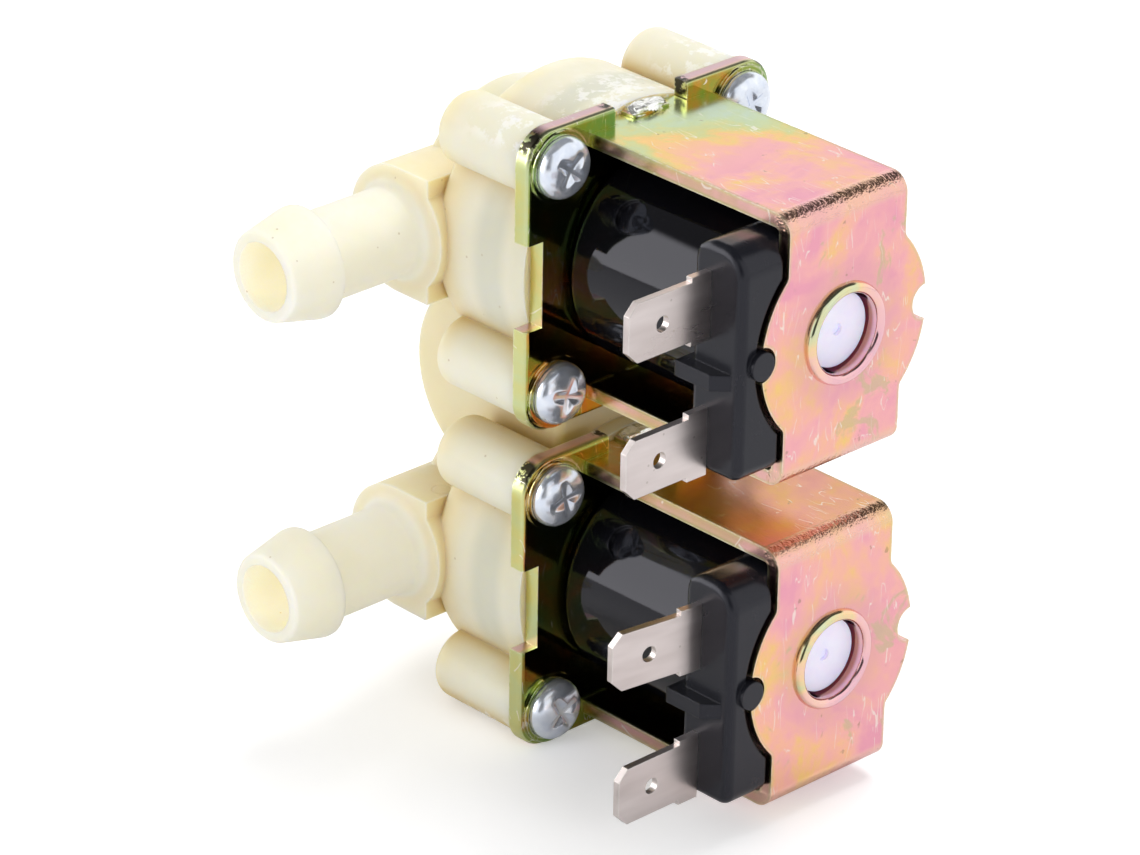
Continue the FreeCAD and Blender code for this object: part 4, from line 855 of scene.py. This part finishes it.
def dress_strainer(material):
    """The fine mesh behind the strainer's windows."""
    low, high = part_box("inlet_strainer")
    radius, bottom, top = 7.75 * MM, low.y + 1.4 * MM, high.y - 2.6 * MM
    around, rows = 84, 16
    shape = bmesh.new()
    rings = []
    for row in range(rows + 1):
        level = bottom + (top - bottom) * row / rows
        angles = [2 * math.pi * step / around for step in range(around)]
        rings.append([
            shape.verts.new((radius * math.cos(angle), level, radius * math.sin(angle))) for angle in angles
        ])
    for first, second in zip(rings, rings[1:]):
        for step in range(around):
            beyond = (step + 1) % around
            shape.faces.new((first[step], first[beyond], second[beyond], second[step]))
    bmesh.ops.wireframe(shape, faces=shape.faces, thickness=0.16 * MM, use_replace=True, use_even_offset=True)
    new_piece("strainer_mesh", shape, material)


# Screws, as in part.py, with a softer cross and rounder heads
HEAD_RADIUS = 3.25 * MM
HEAD_HEIGHT = 2.3 * MM
HEAD_WALL = 0.7 * MM
SHANK_RADIUS = 1.75 * MM
SHANK_LENGTH = 7.5 * MM
SHANK_ROOT = 1.4 * MM
POINT_LENGTH = 1.0 * MM
POINT_RADIUS = 0.9 * MM
SCREW_PITCH = 0.9 * MM
SCREW_SPREAD_Y = 12.6 * MM
SCREW_SPREAD_Z = 12.35 * MM
CROSS_REACH = 2.2 * MM
CROSS_WIDTH = 0.95 * MM
CROSS_DEPTH = 0.65 * MM
SCREW_TURNS = {(-1, 1): 0.55, (1, 1): 0.1, (-1, -1): 0.9, (1, -1): 1.3}


def crown_height(radius, angle):
    """Height of a screw's head above the plate: a low dome with a tapering cross sunk in it."""
    dome = HEAD_WALL + (HEAD_HEIGHT - HEAD_WALL) * math.sqrt(max(0.0, 1 - (radius / HEAD_RADIUS) ** 2.2))
    across = [abs(radius * math.cos(angle)), abs(radius * math.sin(angle))]
    off, along = min(across), max(across)
    if along > CROSS_REACH:
        return dome
    share = along / CROSS_REACH
    width = CROSS_WIDTH * (1 - 0.3 * share)
    wall = min(max((width - off) / (0.85 * width), 0.0), 1.0)
    return dome - CROSS_DEPTH * (1 - share ** 1.6) * wall * wall * (3 - 2 * wall)


def add_screw(shape, centre, turn):
    """A head on a polar grid, and a shank with round ridges that ends in a blunt point."""
    segments, circles = 96, 30
    outline = [(crown_height, HEAD_RADIUS * index / circles) for index in range(1, circles + 1)]
    outline += [(0.15 * MM, HEAD_RADIUS), (0.0, HEAD_RADIUS - 0.15 * MM), (0.0, SHANK_RADIUS)]
    ridges = int((SHANK_LENGTH - 1.2 * MM) / SCREW_PITCH)
    for ridge in range(ridges):
        start = -SCREW_PITCH * (ridge + 0.4)
        outline += [(start, SHANK_ROOT), (start - 0.35 * SCREW_PITCH, SHANK_RADIUS)]
        outline.append((start - 0.5 * SCREW_PITCH, SHANK_RADIUS))
    outline += [(POINT_LENGTH - SHANK_LENGTH, SHANK_ROOT), (-SHANK_LENGTH, POINT_RADIUS)]
    top = shape.verts.new(centre + Vector((crown_height(0, 0), 0, 0)))
    rows = []
    for height, radius in outline:
        row = []
        for index in range(segments):
            angle = 2 * math.pi * index / segments
            rise = height(radius, angle) if callable(height) else height
            place = Vector((rise, radius * math.cos(angle + turn), radius * math.sin(angle + turn)))
            row.append(shape.verts.new(centre + place))
        rows.append(row)
    for index in range(segments):
        shape.faces.new((top, rows[0][index], rows[0][(index + 1) % segments]))
    for first, second in zip(rows, rows[1:]):
        for index in range(segments):
            beyond = (index + 1) % segments
            shape.faces.new((first[index], second[index], second[beyond], first[beyond]))
    shape.faces.new(list(reversed(rows[-1])))


def dress_screws(word, side, material):
    shape = bmesh.new()
    for (y_side, z_side), turn in SCREW_TURNS.items():
        y, z = VALVE_Y + y_side * SCREW_SPREAD_Y, side * VALVE_Z + z_side * SCREW_SPREAD_Z
        add_screw(shape, Vector((PLATE_FACE_X, y, z)), turn + 0.35 * side)
    bmesh.ops.recalc_face_normals(shape, faces=shape.faces)
    piece = new_piece(word + "_pan_head_screws", shape, material)
    shade_smooth(piece, 50)
    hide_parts(word + "_screws")


# The flux sleeve, whose rim is rolled round
SLEEVE_BORE = 4.2 * MM
SLEEVE_OUTSIDE = 4.9 * MM
YOKE_REACH = 27.7 * MM
SLEEVE_SIDES = 96
ROLL_STEPS = 14


def dress_sleeve(word, side, material):
    low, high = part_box(word + "_flux_sleeve")
    roll_rim = (high.z - low.z) / 2 - 0.15 * MM
    seat = PLATE_FACE_X + YOKE_REACH
    middle, half = (SLEEVE_BORE + roll_rim) / 2, (roll_rim - SLEEVE_BORE) / 2
    outline = [(low.x, SLEEVE_BORE), (low.x, SLEEVE_OUTSIDE), (seat + 0.01 * MM, SLEEVE_OUTSIDE)]
    outline.append((seat + 0.01 * MM, roll_rim))
    for step in range(1, ROLL_STEPS):
        angle = math.pi * step / ROLL_STEPS
        outline.append((seat + (high.x - seat) * math.sin(angle), middle + half * math.cos(angle)))
    outline.append((seat - 0.2 * MM, SLEEVE_BORE))
    name = word + "_rolled_sleeve"
    piece = turned(name, outline, VALVE_Y, side * VALVE_Z, material, SLEEVE_SIDES)
    shade_smooth(piece, 45)
    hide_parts(word + "_flux_sleeve")


# The lower valve's upper tab, bent a little towards the base plate
TAB_BEND_Y = -35.6 * MM
TAB_BEND_SPAN = 1.2 * MM
TAB_BEND_ANGLE = math.radians(8)
TAB_BEND_CUTS = 4


def dress_bent_tab(material):
    low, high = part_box("lower_top_tab")
    middle = (low.x + high.x) / 2
    shape = bmesh.new()
    shape.from_mesh(welded_copy("lower_top_tab", "straight_tab"))
    for level in range(TAB_BEND_CUTS + 1):
        cut = TAB_BEND_Y - TAB_BEND_SPAN * level / TAB_BEND_CUTS
        everything = list(shape.verts) + list(shape.edges) + list(shape.faces)
        bmesh.ops.bisect_plane(shape, geom=everything, plane_co=(0, cut, 0), plane_no=(0, 1, 0))
    for vert in shape.verts:
        beyond = TAB_BEND_Y - vert.co.y
        if beyond <= 0:
            continue
        share = min(beyond / TAB_BEND_SPAN, 1.0)
        angle = TAB_BEND_ANGLE * share
        run = beyond - share * TAB_BEND_SPAN
        aside = vert.co.x - middle
        radius = TAB_BEND_SPAN / TAB_BEND_ANGLE
        x = middle - radius * (1 - math.cos(angle)) - run * math.sin(angle) + aside * math.cos(angle)
        y = TAB_BEND_Y - radius * math.sin(angle) - run * math.cos(angle) - aside * math.sin(angle)
        vert.co = Vector((x, y, vert.co.z))
    piece = new_piece("lower_bent_tab", shape, material)
    shade_smooth(piece, 28)
    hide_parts("lower_top_tab")


# The hammered lumps of the base plates' staked tabs
LUMP_HALF = (1.0 * MM, 2.3 * MM, 0.6 * MM)
LUMP_CENTRE_X = 13.6 * MM
STAKE_TOP = 14.85 * MM
KNOCKS = ((2.7, 4.1, 3.3), (5.9, 3.7, 6.5), (8.3, 9.1, 7.7))
KNOCK_SIZE = 0.12


def knock(place, seed):
    """A push that varies over a lump and is the same in each run."""
    push = Vector()
    for turn, waves in enumerate(KNOCKS):
        phase = place.dot(Vector(waves)) + seed * (turn + 1)
        push += Vector((math.sin(phase), math.sin(phase + 2.1), math.sin(phase + 4.2))) / (turn + 1.5)
    return KNOCK_SIZE * push


def lump_mesh(centre, up, seed):
    """A cube's grid pulled half way to a ball and knocked about."""
    shape = bmesh.new()
    bmesh.ops.create_cube(shape, size=2)
    bmesh.ops.subdivide_edges(shape, edges=list(shape.edges), cuts=9, use_grid_fill=True)
    for vert in shape.verts:
        place = vert.co.copy()
        ball = place.normalized() * max(abs(value) for value in place)
        place = place.lerp(ball, 0.55) + knock(place, seed)
        place = Vector((place.x * LUMP_HALF[0], place.y * LUMP_HALF[1], place.z * LUMP_HALF[2] * up))
        vert.co = centre + place
    mesh = bpy.data.meshes.new("lump")
    shape.to_mesh(mesh)
    shape.free()
    return mesh


def dress_stakes(word, side, material):
    """Two crushed lumps, one on the tab above the coil and one on the tab below it."""
    shape = bmesh.new()
    for up in (1, -1):
        centre = Vector((LUMP_CENTRE_X, VALVE_Y, side * VALVE_Z + up * STAKE_TOP))
        shape.from_mesh(lump_mesh(centre, up, 3.1 * side + up))
    bmesh.ops.recalc_face_normals(shape, faces=shape.faces)
    piece = new_piece(word + "_staked_lumps", shape, material)
    shade_smooth(piece, 35)


# Lamps, by the way they shine from, their distance and size in metres and their power in watts
LAMPS = {
    "window_lamp": {"towards": (-0.15, -1.0, 0.30), "distance": 0.8, "size": 0.46, "power": 1.7},
    "top_lamp": {"towards": (-0.15, 0.45, 1.0), "distance": 0.9, "size": 0.6, "power": 5.2},
    "front_lamp": {"towards": (1.0, -0.25, 0.35), "distance": 1.1, "size": 0.6, "power": 3.5},
}

# Levels of the world, and where its reflected parts fade into one another on a ball of unit radius
WORLD_LEVEL = 0.5
DARK_CEILING = 0.07
SOFTBOX_LEVEL = 3.5
BACK_LEVEL = 1.08
CEILING_Z = (0.53, 0.60)
OVERHEAD_X = (0.25, 0.42)
OVERHEAD_Z = (0.78, 0.86)
STRIP_Z = (-0.075, -0.060)
FRONT_Y = (0.10, -0.25)
SOFTBOX_X = (0.0, -0.30)
BESIDE_Y = (-0.60, -0.42)
BESIDE_X = (0.45, 0.25)

FLOOR_COLOUR = (0.86, 0.86, 0.87, 1)
FLOOR_REACH = 0.9
FLOOR_DROP = 0.02 * MM
FLOOR_GLOW = 0.35
FLOOR_MIRRORED = 0.1


def add_lamp(name, towards, distance, size, power):
    """A soft square lamp that shines at the object from a direction."""
    data = bpy.data.lights.new(name, "AREA")
    data.shape = "SQUARE"
    data.size = size
    data.energy = power
    lamp = bpy.data.objects.new(name, data)
    aim = (cad_low + cad_high) / 2
    direction = Vector(towards).normalized()
    lamp.location = aim + direction * distance
    lamp.rotation_euler = direction.to_track_quat("Z", "Y").to_euler()
    lamp.visible_glossy = False
    bpy.context.collection.objects.link(lamp)


def joined(tree, kind, first, second):
    """A sum, product or other pairing of two numbers or sockets."""
    node = tree.nodes.new("ShaderNodeMath")
    node.operation = kind
    for socket, value in zip(node.inputs, (first, second)):
        if isinstance(value, bpy.types.NodeSocket):
            tree.links.new(value, socket)
        else:
            socket.default_value = value
    return node.outputs["Value"]


def faded(tree, value, start, end, low=0.0, high=1.0):
    """Goes smoothly from low to high between two levels of a value."""
    node = tree.nodes.new("ShaderNodeMapRange")
    node.interpolation_type = "SMOOTHSTEP"
    tree.links.new(value, node.inputs["Value"])
    for name, number in (("From Min", start), ("From Max", end), ("To Min", low), ("To Max", high)):
        node.inputs[name].default_value = number
    return node.outputs["Result"]


def add_world():
    """White to the camera, plain light on the object, and a dark ceiling in front for its reflections."""
    world = bpy.data.worlds.new("studio")
    bpy.context.scene.world = world
    world.use_nodes = True
    tree = world.node_tree
    tree.nodes.clear()
    output = tree.nodes.new("ShaderNodeOutputWorld")
    background = tree.nodes.new("ShaderNodeBackground")
    tree.links.new(background.outputs["Background"], output.inputs["Surface"])
    path = tree.nodes.new("ShaderNodeLightPath").outputs
    way = tree.nodes.new("ShaderNodeSeparateXYZ")
    tree.links.new(tree.nodes.new("ShaderNodeTexCoord").outputs["Generated"], way.inputs["Vector"])
    x, y, z = (way.outputs[letter] for letter in "XYZ")

    overhead = joined(tree, "MULTIPLY", faded(tree, x, *OVERHEAD_X), faded(tree, z, *OVERHEAD_Z, 1.0, 0.0))
    high = joined(tree, "MAXIMUM", faded(tree, z, *CEILING_Z, 1.0, DARK_CEILING), overhead)
    strip = faded(tree, z, *STRIP_Z, DARK_CEILING, 1.0)
    behind = faded(tree, y, *FRONT_Y, 1.0, 0.0)
    front = joined(tree, "SUBTRACT", 1.0, behind)
    softbox = joined(tree, "MULTIPLY", front, faded(tree, x, *SOFTBOX_X, 0.0, SOFTBOX_LEVEL))
    back = joined(tree, "MULTIPLY", behind, BACK_LEVEL)
    around = joined(tree, "ADD", back, joined(tree, "MAXIMUM", softbox, front))
    beside = joined(tree, "MAXIMUM", faded(tree, y, *BESIDE_Y, DARK_CEILING, 1.0), faded(tree, x, *BESIDE_X))
    shown = joined(tree, "MULTIPLY", joined(tree, "MULTIPLY", high, strip), around)
    shown = joined(tree, "MULTIPLY", shown, beside)
    glossy = joined(tree, "MULTIPLY", path["Is Glossy Ray"], shown)
    seen = joined(tree, "MAXIMUM", path["Is Camera Ray"], path["Is Transmission Ray"])
    other = joined(tree, "SUBTRACT", 1.0, joined(tree, "MAXIMUM", path["Is Glossy Ray"], seen))
    plain = joined(tree, "MULTIPLY", other, WORLD_LEVEL)
    strength = joined(tree, "ADD", joined(tree, "ADD", glossy, seen), plain)
    tree.links.new(strength, background.inputs["Strength"])
    background.inputs["Color"].default_value = (1, 1, 1, 1)


def add_floor():
    """A pale floor that glows a little where the camera or a reflection sees it, and keeps the shadow."""
    drop = Matrix.Translation((0, 0, cad_low.z - FLOOR_DROP))
    shape = bmesh.new()
    bmesh.ops.create_grid(shape, x_segments=1, y_segments=1, size=FLOOR_REACH, matrix=drop)
    mesh = bpy.data.meshes.new("floor")
    shape.to_mesh(mesh)
    shape.free()
    floor = bpy.data.objects.new("floor", mesh)
    bpy.context.collection.objects.link(floor)
    material = bpy.data.materials.new("pale_floor")
    material.use_nodes = True
    tree = material.node_tree
    tree.nodes.clear()
    output = tree.nodes.new("ShaderNodeOutputMaterial")
    diffuse = tree.nodes.new("ShaderNodeBsdfDiffuse")
    diffuse.inputs["Color"].default_value = FLOOR_COLOUR
    glow = tree.nodes.new("ShaderNodeEmission")
    path = tree.nodes.new("ShaderNodeLightPath").outputs
    mirrored = joined(tree, "MULTIPLY", path["Is Glossy Ray"], FLOOR_MIRRORED)
    seen = joined(tree, "MAXIMUM", path["Is Camera Ray"], mirrored)
    tree.links.new(joined(tree, "MULTIPLY", seen, FLOOR_GLOW), glow.inputs["Strength"])
    both = tree.nodes.new("ShaderNodeAddShader")
    tree.links.new(diffuse.outputs["BSDF"], both.inputs[0])
    tree.links.new(glow.outputs["Emission"], both.inputs[1])
    tree.links.new(both.outputs["Shader"], output.inputs["Surface"])
    mesh.materials.append(material)


def smooth_solids():
    """Round faces of the carried-over solids are shaded smooth."""
    for thing in nodes.values():
        if not thing.hide_render:
            shade_smooth(thing, 28)


add_camera()
made = dress_nodes()
dress_body()
for word, side in SIDES.items():
    dress_diaphragm(word, side, made["rubber"])
    dress_spring(word, side, made["steel"])
    dress_screws(word, side, made["zinc"])
    dress_stakes(word, side, made["crushed"])
    dress_coil(word, side, made["resin"])
    dress_sleeve(word, side, sleeve_chromate(word + "_sleeve_chromate", (0.0, 0.02 * side, 0.0), side))
dress_bent_tab(made["tin"])
dress_strainer(made["mesh"])
smooth_solids()

for name, settings in LAMPS.items():
    add_lamp(name, **settings)
add_world()
add_floor()
bpy.context.scene.view_settings.view_transform = "Standard"
